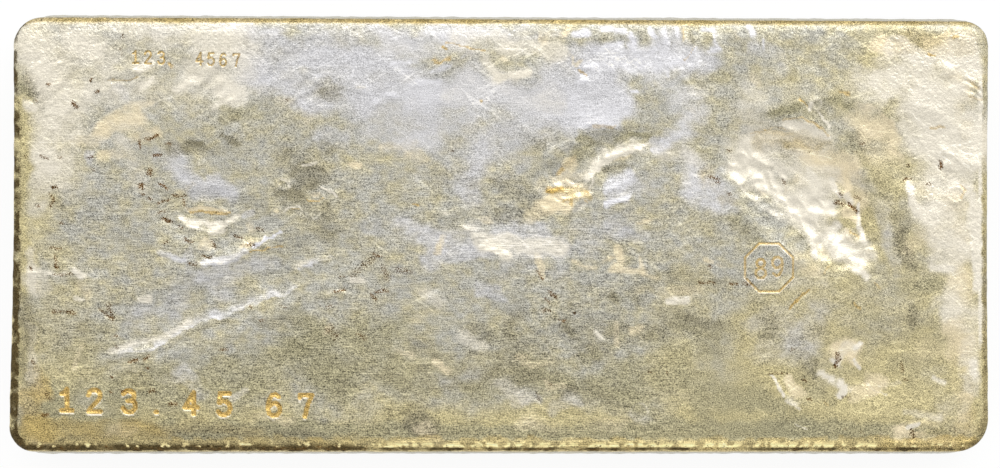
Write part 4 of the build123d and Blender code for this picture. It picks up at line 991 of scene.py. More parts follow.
def punched_strokes(digits, across, first_foot, last_foot, height, width, stroke, depth):
    """The strokes of a row of digits: paths, with the width and the depth of their groove."""
    strokes = []
    for place, (digit, middle) in enumerate(zip(digits, across)):
        foot = first_foot + (last_foot - first_foot) * place / (len(digits) - 1)
        for line in DIGITS[digit]:
            path = [(middle + (u - 0.5) * width, foot + v * height) for u, v in line]
            strokes.append((path, stroke, depth))
    return strokes


def assay_frame(centre, sides, radius, turn, stroke, depth):
    """The strokes of the plain frame round the assay digits."""
    corners = [math.radians(turn + 360 * side / sides) for side in range(sides + 1)]
    path = [(centre[0] + radius * math.cos(a), centre[1] + radius * math.sin(a)) for a in corners]
    return [(path, stroke, depth)]


PUNCHES = (
    punched_strokes(**WEIGHT_ROW) + punched_strokes(**FINENESS_ROW) + punched_strokes(**ASSAY_ROW)
    + assay_frame(**ASSAY_FRAME)
)


def stains_of(finish):
    """The stains of a finish in all the areas."""
    return [stain for (area, kind), stains in STAINS.items() if kind == finish for stain in stains]


# Where the mesh is made finer, besides the rings and the narrow stains
FOLDED_LAPS = (
    "middle crest", "middle brow", "middle basin", "long lap", "right crest", "upper ridge", "left crest",
    "left brow", "centre ridge", "centre step", "upper scar", "lower scar", "upper lens",
)
LAP_REACH = 1.6
PIT_REACH, PIT_LINE = 4.0, ((10.0, 8.0), (17.0, 8.0))
HOLLOW_REACH, HOLLOW_LINE = 3.4, ((43.5, 12.0), (50.0, 8.5), (58.0, 4.5), (64.0, 1.5), (60.0, -4.0))
NARROW = 0.6  # a stain with less reach than this needs a finer mesh


def fine_paths():
    """Where the mesh is made finer: the reach round each path, and the path."""
    paths = [(LAP_REACH, LAPS[name].path) for name in FOLDED_LAPS]
    paths += [(PIT_REACH, PIT_LINE), (HOLLOW_REACH, HOLLOW_LINE)]
    for reach, strength, *path in stains_of("rust") + stains_of("ochre") + stains_of("cream_and_highlight"):
        if reach < NARROW:
            paths.append((reach + STAIN_MARGIN, path))
    for x, y, radius, rise in RINGS:
        paths.append((radius + RING_MARGIN, ((x, y), (x + 0.1, y))))
    return paths


def near_any(x, y, paths):
    """Which places lie within the reach of any of some paths."""
    chosen = np.zeros(x.shape, dtype=bool)
    for reach, path in paths:
        inside = around(x, y, path, reach)
        chosen[inside] |= near_path(x[inside], y[inside], path)[0] < reach
    return chosen


def draw_block(sizes, section):
    """A block with square corners: a grid for the cast face, rings for the walls, and a grid underneath."""
    half_length = sizes.fill_length / 2
    half_width = sizes.fill_width / 2
    outset, height = section[0]
    face_length = 2 * (half_length + outset)
    face_width = 2 * (half_width + outset)
    columns = round(face_length / sizes.cell)
    rows = round(face_width / sizes.cell)

    bpy.ops.object.select_all(action="DESELECT")
    bpy.ops.mesh.primitive_grid_add(
        x_subdivisions=columns, y_subdivisions=rows, size=1, location=(0, 0, height)
    )
    bar = bpy.context.object
    bar.name = bar.data.name = "cast_bar"
    bar.scale = (face_length, face_width, 1)
    bpy.ops.object.transform_apply(location=True, rotation=True, scale=True)

    # The rim, the wall and the meniscus are drawn down ring by ring from the edge of the grid
    bpy.ops.object.mode_set(mode="EDIT")
    bpy.ops.mesh.select_mode(type="EDGE")
    bpy.ops.mesh.select_all(action="DESELECT")
    bpy.ops.mesh.select_non_manifold(
        extend=False, use_wire=False, use_multi_face=False, use_non_contiguous=False
    )
    for (outset, height), (next_outset, next_height) in zip(section, section[1:]):
        bpy.ops.mesh.extrude_edges_move(TRANSFORM_OT_translate={"value": (0, 0, next_height - height)})
        grow = [(half + next_outset) / (half + outset) for half in (half_length, half_width)]
        bpy.ops.transform.resize(value=(*grow, 1), center_override=(0, 0, 0))
    bpy.ops.mesh.fill_grid(span=columns)
    bpy.ops.object.mode_set(mode="OBJECT")
    return bar


def run_in(x, y, sizes):
    """How far the bow of the ends and the run-in of two walls move places of the square block, in metres."""
    share_back = 0.5 + y / sizes.fill_width
    share_right = 0.5 + x / sizes.fill_length
    bow = 1 - (2 * y / sizes.fill_width) ** 2
    move_x = (sizes.left_run_in * share_back + sizes.left_bow * bow) * (1 - share_right)
    return move_x - sizes.right_bow * bow * share_right, -sizes.back_run_in * share_back * share_right


def round_block(bar, sizes, section):
    """Gives each level of the block its rounded corners, its bowed ends and the run-in of the two walls."""
    half_length = sizes.fill_length / 2
    half_width = sizes.fill_width / 2
    places = vertex_places(bar)
    heights = np.array([height for outset, height in section])
    outsets = np.array([outset for outset, height in section])
    level = outsets[abs(places[:, 2:3] - heights[None, :]).argmin(axis=1)]
    to_right = places[:, 0] > 0
    front_radius = np.where(to_right, sizes.front_right, sizes.front_left)
    back_radius = np.where(to_right, sizes.back_right, sizes.back_left)
    radius = np.where(places[:, 1] > 0, back_radius, front_radius) + level
    corner_x = half_length + level - radius
    corner_y = half_width + level - radius
    across = np.clip((abs(places[:, 0]) - corner_x) / radius, 0, 1)
    along = np.clip((abs(places[:, 1]) - corner_y) / radius, 0, 1)
    in_corner = (across > 0) & (along > 0)
    rounded_x = np.sign(places[:, 0]) * (corner_x + radius * across * np.sqrt(1 - along**2 / 2))
    rounded_y = np.sign(places[:, 1]) * (corner_y + radius * along * np.sqrt(1 - across**2 / 2))
    x = np.where(in_corner, rounded_x, places[:, 0])
    y = np.where(in_corner, rounded_y, places[:, 1])

    move_x, move_y = run_in(x, y, sizes)
    places[:, 0] = x + move_x
    places[:, 1] = y + move_y
    bar.data.vertices.foreach_set("co", places.ravel())
    bar.data.update()


def refine_block(bar, sizes):
    """Thins the mesh underneath, makes it finer where the relief is fine, and cuts it into triangles."""
    centres = face_centres(bar)
    plain = (centres[:, 2] < 0.01) & (abs(centres[:, 0]) < sizes.fill_length / MM / 2 - FLOOR_MARGIN)
    plain &= abs(centres[:, 1]) < sizes.fill_width / MM / 2 - FLOOR_MARGIN
    select_faces(bar, plain)
    bpy.ops.mesh.unsubdivide(iterations=4)
    bpy.ops.object.mode_set(mode="OBJECT")

    punched = [(stroke + PUNCH_MARGIN, path) for path, stroke, depth in PUNCHES]
    thin = [(stroke + THIN_MARGIN, path) for path, stroke, depth in PUNCHES if stroke < THIN_STROKE]
    for paths in (fine_paths(), punched, thin):
        centres = face_centres(bar)
        on_face = centres[:, 2] > BAR_TOP / MM - FACE_DEPTH
        select_faces(bar, on_face & near_any(centres[:, 0], centres[:, 1], paths))
        bpy.ops.mesh.subdivide(number_cuts=1)
        bpy.ops.object.mode_set(mode="OBJECT")
    bpy.ops.object.mode_set(mode="EDIT")
    bpy.ops.mesh.select_all(action="SELECT")
    bpy.ops.mesh.quads_convert_to_tris(quad_method="SHORTEST_DIAGONAL")
    bpy.ops.mesh.normals_make_consistent(inside=False)
    bpy.ops.object.mode_set(mode="OBJECT")


def cast_block(sizes):
    """The block on the solid's surface, before its relief."""
    section = wall_section(sizes)
    bar = draw_block(sizes, section)
    round_block(bar, sizes, section)
    refine_block(bar, sizes)
    wrap = bar.modifiers.new("On the casting", "SHRINKWRAP")
    wrap.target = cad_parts[CAST_NODE]
    wrap.wrap_method = "NEAREST_SURFACEPOINT"
    bpy.ops.object.modifier_apply(modifier=wrap.name)
    return bar


# How far folds and small marks stray from their paths
FOLD_DRIFT = 0.7
SMALL_DRIFT = 0.3

RING_WIDTH = 0.25  # the width of a burst bubble's wall
FOLD_SLANT = (0.78, 0.62)  # cosine and sine of the slant of the upper left folds
BLISTER_LINE = ((46.0, 12.0), (52.0, 7.0), (60.0, 1.0), (65.0, -3.0))

# How far below the top of the bar the relief begins, and the height in which it fades in, and the same for
# the stains of the face and of the rims
RELIEF_BELOW, RELIEF_FADE = 1.9, 1.4
STAINS_BELOW, STAINS_FADE = 2.2, 0.8
RIMS_BELOW, RIMS_FADE = 1.9, 0.6


def above_walls(z, below, fade):
    """1 at the top of the bar and 0 from a depth below it downwards."""
    return smooth((z - BAR_TOP / MM + below) / fade)


def swell(x, y, size, octaves=2, seed=0.0, stretch=1.0):
    """Noise, about -1 to 1, whose lumps have the given size in millimetres and are stretched along X."""
    places = zip((x / (size * stretch)).tolist(), (y / size).tolist())
    return np.fromiter((noise.fractal((u, v, seed), 1.0, 2.0, octaves) for u, v in places), float, len(x))


def wander(x, y, drift=FOLD_DRIFT):
    """Places moved a little to and fro, so that no fold runs straight."""
    across = drift * swell(x, y, 3.0, octaves=3, seed=1.0)
    along = drift * swell(x, y, 3.0, octaves=3, seed=2.0)
    return x + across, y + along


def lap_relief(x, y, lap):
    """Height of a lap: a crest with a steep side on the left of its path and a gentle one on the right."""
    distance, side, share = near_path(x, y, lap.path)
    ends = np.clip(np.minimum(share, 1 - share) / 0.15, 0, 1)
    width = np.where(side > 0, lap.steep, lap.gentle)
    return lap.rise * (0.2 + 0.8 * ends) * np.exp(-distance / width)


def lap_finish(x, y, lap):
    """How strong the finish of a lap's steep side is: a painted highlight where it faces the back, painted
    shade on the brows. It ends sharply at the crest.
    """
    distance, side, share = near_path(x, y, lap.path)
    ends = smooth(np.minimum(share, 1 - share) / 0.2)
    fall = np.where(side > 0, np.exp(-((distance / (1.3 * lap.steep)) ** 2)), smooth(1 - distance / 0.2))
    worn = np.clip(0.8 + 0.9 * swell(x, y, 2.5, seed=21.0), 0, 1)
    return min(1.0, 0.35 + 1.1 * lap.rise) * ends * fall * worn


def skin_relief(x, y):
    """Height of the skin between the laps, which is rougher at the two ends and along the back."""
    right_end, left_end, back_strip = ramp(x, 30, 55), ramp(x, -60, -80), ramp(y, 27, 33)
    rough = 0.35 + right_end + left_end + 0.8 * back_strip
    height = 0.1 * swell(x, y, 24.0, seed=3.0)
    height += rough * (0.045 * swell(x, y, 6.0, seed=4.0) + 0.035 * swell(x, y, 1.9, octaves=3, seed=5.0))

    # Scalloped cooling marks run from the back rim into the face
    scallops = ramp(x, 14, 19) * ramp(x, 76, 46) * ramp(y, 27, 31) * ramp(y, 39, 37)
    height += 0.4 * scallops * (0.3 - abs(swell(x, y, 9.0, seed=6.0, stretch=0.22)))

    # A lumpy bead lies along the front rim, and is highest right of the left quarter
    lumpy = ramp(y, -36.8, -37.4)
    bead = ramp(y, -36.8, -38) * ramp(y, -38.7, -38.2)
    height += 0.16 * lumpy * swell(x, y, 1.1, octaves=3, seed=16.0)
    height += (0.2 + 0.16 * ramp(x, -26, -18)) * bead

    # Slanting folds lie in patches at the upper left
    patches = ramp(swell(x, y, 7.0, seed=23.0), -0.15, 0.25)
    folded = ramp(x, -26, -38) * ramp(y, 19, 24) * ramp(y, 37, 34) * patches
    along, across = FOLD_SLANT
    folds = swell(along * x + across * y, along * y - across * x, 2.2, octaves=3, seed=17.0, stretch=2.6)
    height += 0.3 * folded * (0.25 - abs(folds))

    # The skin of the right-hand hollow is blistered
    blistered = ramp(near_path(x, y, BLISTER_LINE)[0], 7.5, 3.5)
    height += 0.34 * blistered * (0.2 - abs(swell(x, y, 3.2, seed=24.0)))
    return height


def ring_wall(x, y, place_x, place_y, radius):
    """The numbers of the places near a burst bubble's ring, and how near they lie to its wall, 0 to 1."""
    inside = around(x, y, [(place_x, place_y)], 2 * radius)
    distance = np.hypot(x[inside] - place_x, y[inside] - place_y)
    return inside, np.exp(-(((distance - radius) / RING_WIDTH) ** 2))


def small_relief(x, y):
    """Height of the dents, the rings and the creases, in millimetres."""
    height = np.zeros(x.shape)
    warp_x, warp_y = wander(x, y, SMALL_DRIFT)
    for place_x, place_y, length, width, turn, depth in DENTS:
        inside = around(warp_x, warp_y, [(place_x, place_y)], length)
        dx = warp_x[inside] - place_x
        dy = warp_y[inside] - place_y
        turn = math.radians(turn)
        along = (dx * math.cos(turn) + dy * math.sin(turn)) / (length / 2)
        across = (dy * math.cos(turn) - dx * math.sin(turn)) / (width / 2)
        height[inside] -= depth * np.clip(1 - along**2 - across**2, 0, 1) ** 1.15
    for *ring, rise in RINGS:
        inside, nearness = ring_wall(warp_x, warp_y, *ring)
        height[inside] += rise * nearness
    for depth, width, *path in CREASES:
        inside = around(warp_x, warp_y, path, 3 * width)
        distance = near_path(warp_x[inside], warp_y[inside], path)[0]
        height[inside] -= depth * np.exp(-((distance / width) ** 2))
    return height


def cast_relief(x, y):
    """Height of the cast face above its mean, in millimetres."""
    height = skin_relief(x, y) + small_relief(x, y)
    warp_x, warp_y = wander(x, y)
    for lap in LAPS.values():
        inside = around(warp_x, warp_y, lap.path, 5 * lap.gentle)
        height[inside] += lap_relief(warp_x[inside], warp_y[inside], lap)
    return height


def punched_relief(x, y):
    """Height of the punched digits, which lie in grooves with a burr along them, in millimetres."""
    height = np.zeros(x.shape)
    for path, stroke, depth in PUNCHES:
        inside = around(x, y, path, 2 * stroke)
        distance = near_path(x[inside], y[inside], path)[0] / (stroke / 2)
        groove = -depth * ramp(distance, 1.25, 0.55)
        burr = 0.25 * depth * np.exp(-(((distance - 1.7) / 0.5) ** 2))
        cut = np.minimum(height[inside], groove)
        raised = np.maximum(height[inside], burr)
        height[inside] = np.where(distance < 1.25, cut, raised)
    return height


def work_face(bar, sizes):
    """Moves the cast face's vertices into its relief."""
    places = vertex_places(bar)
    x, y, z = (places / MM).T
    top = BAR_TOP / MM
    height = np.zeros(x.shape)
    face = np.nonzero(z > top - RELIEF_BELOW)[0]
    fade = above_walls(z[face], RELIEF_BELOW, RELIEF_FADE)
    height[face] = cast_relief(x[face], y[face]) * sizes.relief + punched_relief(x[face], y[face])
    height[face] *= fade
    spare = np.max(z[face] + height[face]) - top
    height[face] -= max(spare, 0) * fade
    places[:, 2] += height * MM

    # The walls are ragged, the left one most, and stay inside the solid's box
    wall = ramp(z, top - 0.9, top - 2.4) * ramp(z, 0.3, 1.8)
    depth = 0.16 + 0.18 * ramp(x, -86, -88)
    ragged = depth * (1 + swell(x + z, y, 2.4, octaves=4, seed=7.0)) * wall * MM
    normals = np.empty(len(bar.data.vertices) * 3)
    bar.data.vertices.foreach_get("normal", normals)
    places -= normals.reshape(-1, 3) * ragged[:, None]
    bar.data.vertices.foreach_set("co", places.ravel())
    bar.data.update()


def stain_strength(x, y, stains, edge, halo):
    """How strong a finish is at each place, from 0 to 1.

    The edge is the share of a stain's reach in which it fades, and the halo is the strength of a faint
    painted highlight round it.
    """
    bare = np.ones(x.shape)
    for reach, strength, *path in stains:
        inside = around(x, y, path, 2.4 * reach)
        distance = near_path(x[inside], y[inside], path)[0] / reach
        bare[inside] *= 1 - strength * smooth((1.05 - distance) / edge)
        bare[inside] *= 1 - halo * strength * ramp(distance, 2.4, 0.4)
    return 1 - bare


def band(value, low, high, blur):
    """1 where a value lies between two bounds and 0 elsewhere, with blurred edges."""
    return smooth((value - low) / blur + 0.5) * smooth((high - value) / blur + 0.5)


def inside_rim(x, y, sizes):
    """How far places lie inside the line where the rim meets the walls, in millimetres."""
    lean = (BAR_TOP - sizes.shoulder_drop) * math.tan(sizes.draft) / MM
    half_length = sizes.fill_length / MM / 2
    half_width = sizes.fill_width / MM / 2
    move_x, move_y = run_in(x * MM, y * MM, sizes)
    radius = (sizes.front_left + sizes.back_right) / 2 / MM - lean
    beyond_x = abs(x - move_x / MM) - (half_length - lean - radius)
    beyond_y = abs(y - move_y / MM) - (half_width - lean - radius)
    past_corner = np.hypot(np.maximum(beyond_x, 0), np.maximum(beyond_y, 0))
    before_corner = np.minimum(np.maximum(beyond_x, beyond_y), 0)
    return radius - past_corner - before_corner


def mark(bar, name, values):
    """Keeps a number for each vertex, for the material to read."""
    attribute = bar.data.attributes.new(name, "FLOAT", "POINT")
    attribute.data.foreach_set("value", values)


# Bands of stains by their reach: over which and up to which reach, the size of the noise that makes their
# outline wander, how far it wanders, and the share of the reach in which they fade
STAIN_BANDS = ((0, 1.2, 1.5, 0.35, 0.7), (1.2, 3.5, 4.0, 1.2, 0.65), (3.5, 99, 14.0, 5.0, 0.85))
# The glow is a painted highlight round the smaller white stains
GLOW = 0.35  # strength of the glow round the smaller white stains


def strengthen(strengths, finish, values, inside=slice(None)):
    """Makes a finish at least as strong as the values."""
    strengths[finish][inside] = np.maximum(strengths[finish][inside], values)


def listed_stains_and_painted_light(x, y):
    """How strong each finish is where the photo shows its stains. Many of the cream and frost stains are
    painted highlights, and many of the shade and olive stains painted shade.
    """
    bare = {finish: np.ones(x.shape) for finish in FINISH_LAYERS}
    for least, most, size, drift, edge in STAIN_BANDS:
        warp_x = x + drift * swell(x, y, size, octaves=4, seed=11.0)
        warp_y = y + drift * swell(x, y, size, octaves=4, seed=12.0)
        for finish in FINISH_LAYERS:
            chosen = [stain for stain in stains_of(finish) if least < stain[0] <= most]
            halo = GLOW if most < 4 and finish in ("cream_and_highlight", "frost_and_highlight") else 0.0
            bare[finish] *= 1 - stain_strength(warp_x, warp_y, chosen, edge, halo)
    return {finish: 1 - values for finish, values in bare.items()}


def paint_lap_light(strengths, x, y, on_face):
    """Marks the painted light on each lap's steep side, a highlight on most and shade on the brows, and the
    pale walls of the rings.
    """
    warp_x, warp_y = wander(x, y)
    for lap in LAPS.values():
        inside = around(warp_x, warp_y, lap.path, 3 * lap.steep)
        values = lap_finish(warp_x[inside], warp_y[inside], lap) * on_face[inside]
        strengthen(strengths, lap.finish, values, inside)
    warp_x, warp_y = wander(x, y, SMALL_DRIFT)
    for *ring, rise in RINGS:
        inside, nearness = ring_wall(warp_x, warp_y, *ring)
        strengthen(strengths, "cream_and_highlight", min(0.5, 6 * rise) * nearness, inside)


def paint_slope_light(strengths, bar, y, z):
    """Paints shade in olive on slopes that face the front, and a highlight in cream on slopes that face the
    back.
    """
    normals = np.empty(len(bar.data.vertices) * 3)
    bar.data.vertices.foreach_get("normal", normals)
    toward_back = normals.reshape(-1, 3)[:, 1]
    level_face = above_walls(z, RIMS_BELOW, RIMS_FADE) * ramp(abs(y), 38.5, 36.5)
    strengthen(strengths, "olive_and_shade", 0.5 * ramp(toward_back, -0.08, -0.38) * level_face)
    strengthen(strengths, "cream_and_highlight", 0.45 * ramp(toward_back, 0.1, 0.45) * level_face)


def rim_places(x, y, z, sizes):
    """Where the parts of the rims lie, from 0 to 1, how far inside the rim's line, and two ragged noises."""
    edge_noise = swell(x, y, 2.5, octaves=3, seed=15.0)
    return SimpleNamespace(
        edge_noise=edge_noise,
        flakes=swell(x, y, 1.1, octaves=3, seed=16.0),
        inset=inside_rim(x, y, sizes) + 0.15 * edge_noise,
        back=ramp(y, 37, 38.5),
        front=ramp(y, -37, -38.5),
        right=ramp(x, 86, 87.5),
        left=ramp(x, -85, -86),
        on_top=above_walls(z, RIMS_BELOW, RIMS_FADE),
        dirty_end=ramp(x, -22, -30),
        corner=ramp(x, 81, 85) * ramp(y, -30, -36),
    )


def dark_rim_lines(x, y, rim):
    """Dark lines along the rims, most along the left one; a band of painted shadow inside the back rim; and a
    thin line along the front one, partly dirt and partly painted shade.
    """
    left_reach = 1.5 - 0.6 * ramp(y, 18, 30) + 0.3 * ramp(y, -20, -30)
    left_line = band(rim.inset + 0.25 * rim.flakes + 0.3 * rim.edge_noise, 0.0, left_reach, 0.35)
    left_strength = 0.62 + 0.3 * ramp(y, 8, -12) + 0.35 * rim.flakes + 0.9 * rim.edge_noise
    back_line = band(rim.inset + 0.2 * rim.flakes, -0.1, 0.95, 0.4)
    # A band of painted shadow lies inside the back rim
    back_shadow_band = band(rim.inset + 0.5 * rim.edge_noise, 0.8, 2.1, 0.7)
    back_shadow_strength = 0.24 + 0.12 * ramp(x, 5, 35)
    right_line = band(rim.inset, 0.0, 1.1 + 1.8 * ramp(y, -31, -38), 0.4 + 0.8 * rim.front)
    right_strength = 0.2 + 0.25 * ramp(y, 12, -8)
    # The thin line along the front rim is partly dirt, darkest at the left, and partly painted shade of the
    # rim's rounding
    front_line = band(rim.inset + 0.2 * rim.flakes, 0.2, 0.9 + 0.25 * rim.dirty_end, 0.25)
    wiped = ramp(x, 34, 35.5) * ramp(x, 45.5, 44)
    front_strength = (0.6 + 0.3 * rim.dirty_end + 0.5 * rim.edge_noise) * (1 - 0.65 * wiped)
    front_hem = band(rim.inset, 0.9, 2.8 + 0.7 * rim.edge_noise, 0.8)
    front_hem_strength = 0.22 + 0.4 * rim.dirty_end + 0.3 * rim.dirty_end * rim.edge_noise
    corner_line = band(rim.inset + 0.3 * rim.flakes, 0.1, 1.7, 0.6)
    corner_patch = band(rim.inset + 0.5 * rim.edge_noise, 1.5, 4.5, 1.5)
    soot_and_shade = np.maximum.reduce((
        left_strength * rim.left * left_line,
        0.4 * rim.back * back_line,
        back_shadow_strength * rim.back * back_shadow_band,
        right_strength * rim.right * right_line,
        front_strength * rim.front * front_line,
        front_hem_strength * rim.front * front_hem,
        (0.5 + 0.4 * rim.edge_noise) * rim.corner * corner_line,
        0.22 * rim.corner * corner_patch,
    ))
    return np.maximum(soot_and_shade, 0) * rim.on_top


def rim_amber(x, y, rim):
    """Old yellow-brown tarnish: along the foot of the face, in a hem at the back, and in a corner."""
    foot = smooth((-36.4 - y + 0.8 * rim.edge_noise) / 0.6)
    sides = np.maximum(rim.back, 0.5 * rim.right) * band(rim.inset, -0.4, 1.1, 0.4)
    hem_reach = 0.95 + 0.3 * ramp(x, 20, 40) + 0.25 * rim.edge_noise
    wash_reach = 1.7 + ramp(x, 5, 45) + 0.4 * rim.edge_noise
    amber = np.maximum.reduce((
        (0.5 + 0.15 * ramp(x, 68, 71)) * np.maximum(foot, sides),
        0.7 * rim.back * band(rim.inset, -0.3, hem_reach, 0.3),
        0.4 * rim.back * band(rim.inset, 0.0, wash_reach, 1.2),
        0.3 * rim.corner * band(rim.inset, 0.5, 4.5 + rim.edge_noise, 1.5),
    ))
    return amber * rim.on_top


def rim_golden_glint(x, y, rim):
    """A golden tint with a painted glint in a strip above the front rim: in flakes at the left, and nearly
    whole at the right.
    """
    whole = ramp(x, -24, -17) * ramp(x, 71, 68)
    wedge = 1.5 * ramp(x, 33, 35) * ramp(x, 47, 37)
    notches = swell(x, 0.5 * y, 1.5, octaves=3, seed=19.0)
    reach = 2.5 + wedge + 0.3 * rim.edge_noise + 0.9 * notches
    strip = rim.front * band(rim.inset, 0.95, reach, 0.2) * ramp(notches, -0.22, -0.12)
    return strip * smooth((rim.flakes - 0.12 + 0.55 * whole) / 0.1)


def rim_stains_and_light(strengths, x, y, z, sizes):
    """The finishes of the rims, with their painted shade and highlights. The walls below them are plain."""
    rim = rim_places(x, y, z, sizes)
    strengths["soot_and_shade"] = dark_rim_lines(x, y, rim)
    strengths["gilt_and_glint"] = rim_golden_glint(x, y, rim)
    strengthen(strengths, "amber", rim_amber(x, y, rim))

    # A pale line lies outside the dark line, partly a painted highlight on the rim's outer edge
    pale = band(rim.inset, -0.9, 0.1 + 0.1 * rim.front, 0.25) * (rim.left + rim.front + 0.4 * rim.right)
    strengthen(strengths, "tan", 0.75 * np.clip(pale, 0, 1) * rim.on_top)

    # Brown specks lie in the front rim's dark line
    speckled = rim.front * band(rim.inset, 0.3, 1.1, 0.3) * ramp(rim.flakes, 0.15, 0.27)
    strengthen(strengths, "rust", 0.5 * speckled * rim.on_top)

    # A ragged strip of painted highlight lies inside the right-hand rim
    ragged = rim.right * band(rim.inset, 1.0, 2.6 + 0.6 * rim.edge_noise, 0.3)
    strengthen(strengths, "cream_and_highlight", 0.9 * ragged * ramp(y, -24, -18) * ramp(y, 34, 28))


def punch_gold_and_lit_burrs(strengths, x, y, on_face):
    """Gold lies in the punched digits, and a painted highlight in cream on the front wall and burr of each
    stroke, which face the back.
    """
    groove = np.zeros(x.shape)
    burr = np.zeros(x.shape)
    for path, stroke, depth in PUNCHES:
        inside = around(x, y, path, 2 * stroke)
        distance = near_path(x[inside], y[inside], path)[0] / stroke
        gold = min(1.0, 0.45 + 1.6 * depth) * ramp(distance, 0.95, 0.45)
        groove[inside] = np.maximum(groove[inside], gold)
        distance = near_path(x[inside], y[inside] + 0.55 * stroke, path)[0] / stroke
        burr[inside] = np.maximum(burr[inside], ramp(distance, 0.85, 0.45))
    strengthen(strengths, "ochre", 0.9 * groove * on_face)
    strengthen(strengths, "cream_and_highlight", 0.8 * burr * on_face)
    strengths["cream_and_highlight"] *= 1 - groove


def texture_masks(x, y):
    """Where the skin is crumpled, and where the face was brushed along the bar."""
    right_end, back_strip = ramp(x, 62, 74), ramp(y, 26, 34)
    back_left = ramp(x, -60, -75) * ramp(y, 10, 22)
    rough = 0.3 + 0.6 * right_end + 0.5 * back_strip + 0.7 * back_left
    brushed = ramp(x, -92, -78) * ramp(x, 52, 22) * (1 - 0.65 * ramp(y, 4, 18))
    return {"rough": rough, "brushed": brushed}


def stain_face(bar, sizes):
    """Marks where each finish lies."""
    places = vertex_places(bar) / MM
    x, y, z = places.T
    on_face = above_walls(z, STAINS_BELOW, STAINS_FADE)
    strengths = {finish: values * on_face for finish, values in listed_stains_and_painted_light(x, y).items()}
    paint_lap_light(strengths, x, y, on_face)
    paint_slope_light(strengths, bar, y, z)
    rim_stains_and_light(strengths, x, y, z, sizes)
    punch_gold_and_lit_burrs(strengths, x, y, on_face)
    for name, values in (strengths | texture_masks(x, y)).items():
        mark(bar, name, values)


def add(tree, kind, inputs=None, output=0, **settings):
    """Adds a node with its settings, feeds its inputs with values or other nodes, and gives one output."""
    new = tree.nodes.new(kind)
    for name, value in settings.items():
        setattr(new, name, value)
    for name, value in (inputs or {}).items():
        if isinstance(value, bpy.types.NodeSocket):
            tree.links.new(value, new.inputs[name])
        else:
            new.inputs[name].default_value = value
    return new.outputs[output]


# Patterns in the metal: the turn in degrees, how fine they are along it and across it, where a half draws
# them out to twice their length, the cells to a millimetre, the detail and the roughness. The real grain is
# finer than a pixel of the picture, which is 0.18 mm wide, so the grit is drawn about as coarse as a pixel.
PATTERNS = {
    "grain": (2, 0.75, 1, 0.9, 4, 0.95),
    "bloom": (4, 0.75, 1, 0.14, 3, 0.6),
    "grit": (1, 0.75, 1, 6.5, 1, 0.7),
    "streaks": (1, 0.4, 5.2, 1, 1, 0.6),
    "blotches": (7, 0.8, 1, 0.5, 1, 0.5),
    "crumple": (0, 1, 1, 0.8, 2, 0.5),
    "falling threads": (38, 0.03, 0.55, 1, 2, 0.4),
    "rising threads": (-24, 0.03, 0.55, 1, 2, 0.4),
    "level threads": (3, 0.03, 0.55, 1, 2, 0.4),
}

# The finishes in the order in which they lie on each other, and how much the grain of the metal, whose high
# places are worn bare, and the bloom of the tarnish break each of them up
FINISH_LAYERS = {
    "warm": (-0.1, 0.8),
    "cool": (0.15, -0.8),
    "olive_and_shade": (-0.2, 0.88),
    "shade": (-0.3, 0.8),
    "frost_and_highlight": (0.25, -0.64),
    "tan": (-0.15, 1.12),
    "cream_and_highlight": (0.3, -0.72),
    "amber": (-0.15, 0.56),
    "ochre": (-0.2, 0.32),
    "soot_and_shade": (-0.5, 0.4),
    "gilt_and_glint": (0.6, 0.48),
    "rust": (-4.0, 0.0),
}

# A finish begins to show at the first of these strengths, and is whole at the second
BROKEN_LOW, BROKEN_HIGH = 0.12, 0.88
GATE = 5.0  # keeps the grain from showing a finish where there is none of it

# Between silver and warm tarnish the colour of the bare metal sways with the bloom and the blotches
SWAY_BLOOM, SWAY_BLOTCHES, SWAY_BASE = 0.8, 1.3, -0.8

# Hairline scratches lie where a pattern of threads comes very near to the given value. They lighten the metal
# fully where the bloom is above the second of two levels, and least where it is below the first.
SCRATCHES = {"falling threads": 0.5, "rising threads": 0.46, "level threads": 0.57}
HAIRLINE = 0.013
SCRATCH_LIGHT = 0.4
WORN_LOW, WORN_HIGH, UNWORN = 0.47, 0.58, 0.25

# How much lighter and darker the patterns make the metal, the share of that for dark and for pale tints, and
# the lightest that silver gets
GRAIN_LIGHT, GRIT_LIGHT, STREAK_LIGHT = 0.75, 3.15, 1.35
DARK, DARK_SPECKLE = 0.3, 1.4
PALE, PALE_SPECKLE = 0.68, 0.25
BRIGHTEST = (0.92, 0.88, 0.82)

# How high the crumpled skin and the grain stand, as shares of a full height, and that height in metres
CRUMPLE_HEIGHT, GRAIN_HEIGHT, FULL_HEIGHT = 1.5, 0.28, 0.14 * MM


def metal_patterns(tree):
    """The patterns in the metal, by name."""
    places = add(tree, "ShaderNodeTexCoord", output="Object")
    patterns = {}
    for name, (turn, along, across, cells, detail, roughness) in PATTERNS.items():
        turned = add(tree, "ShaderNodeMapping", {"Vector": places, "Rotation": (0, 0, math.radians(turn))})
        scale = (along / MM, across / MM, 1 / MM)
        scaled = add(tree, "ShaderNodeMapping", {"Vector": turned, "Scale": scale})
        inputs = {"Vector": scaled, "Scale": cells, "Detail": detail, "Roughness": roughness}
        patterns[name] = add(tree, "ShaderNodeTexNoise", inputs, output="Fac")
    return patterns


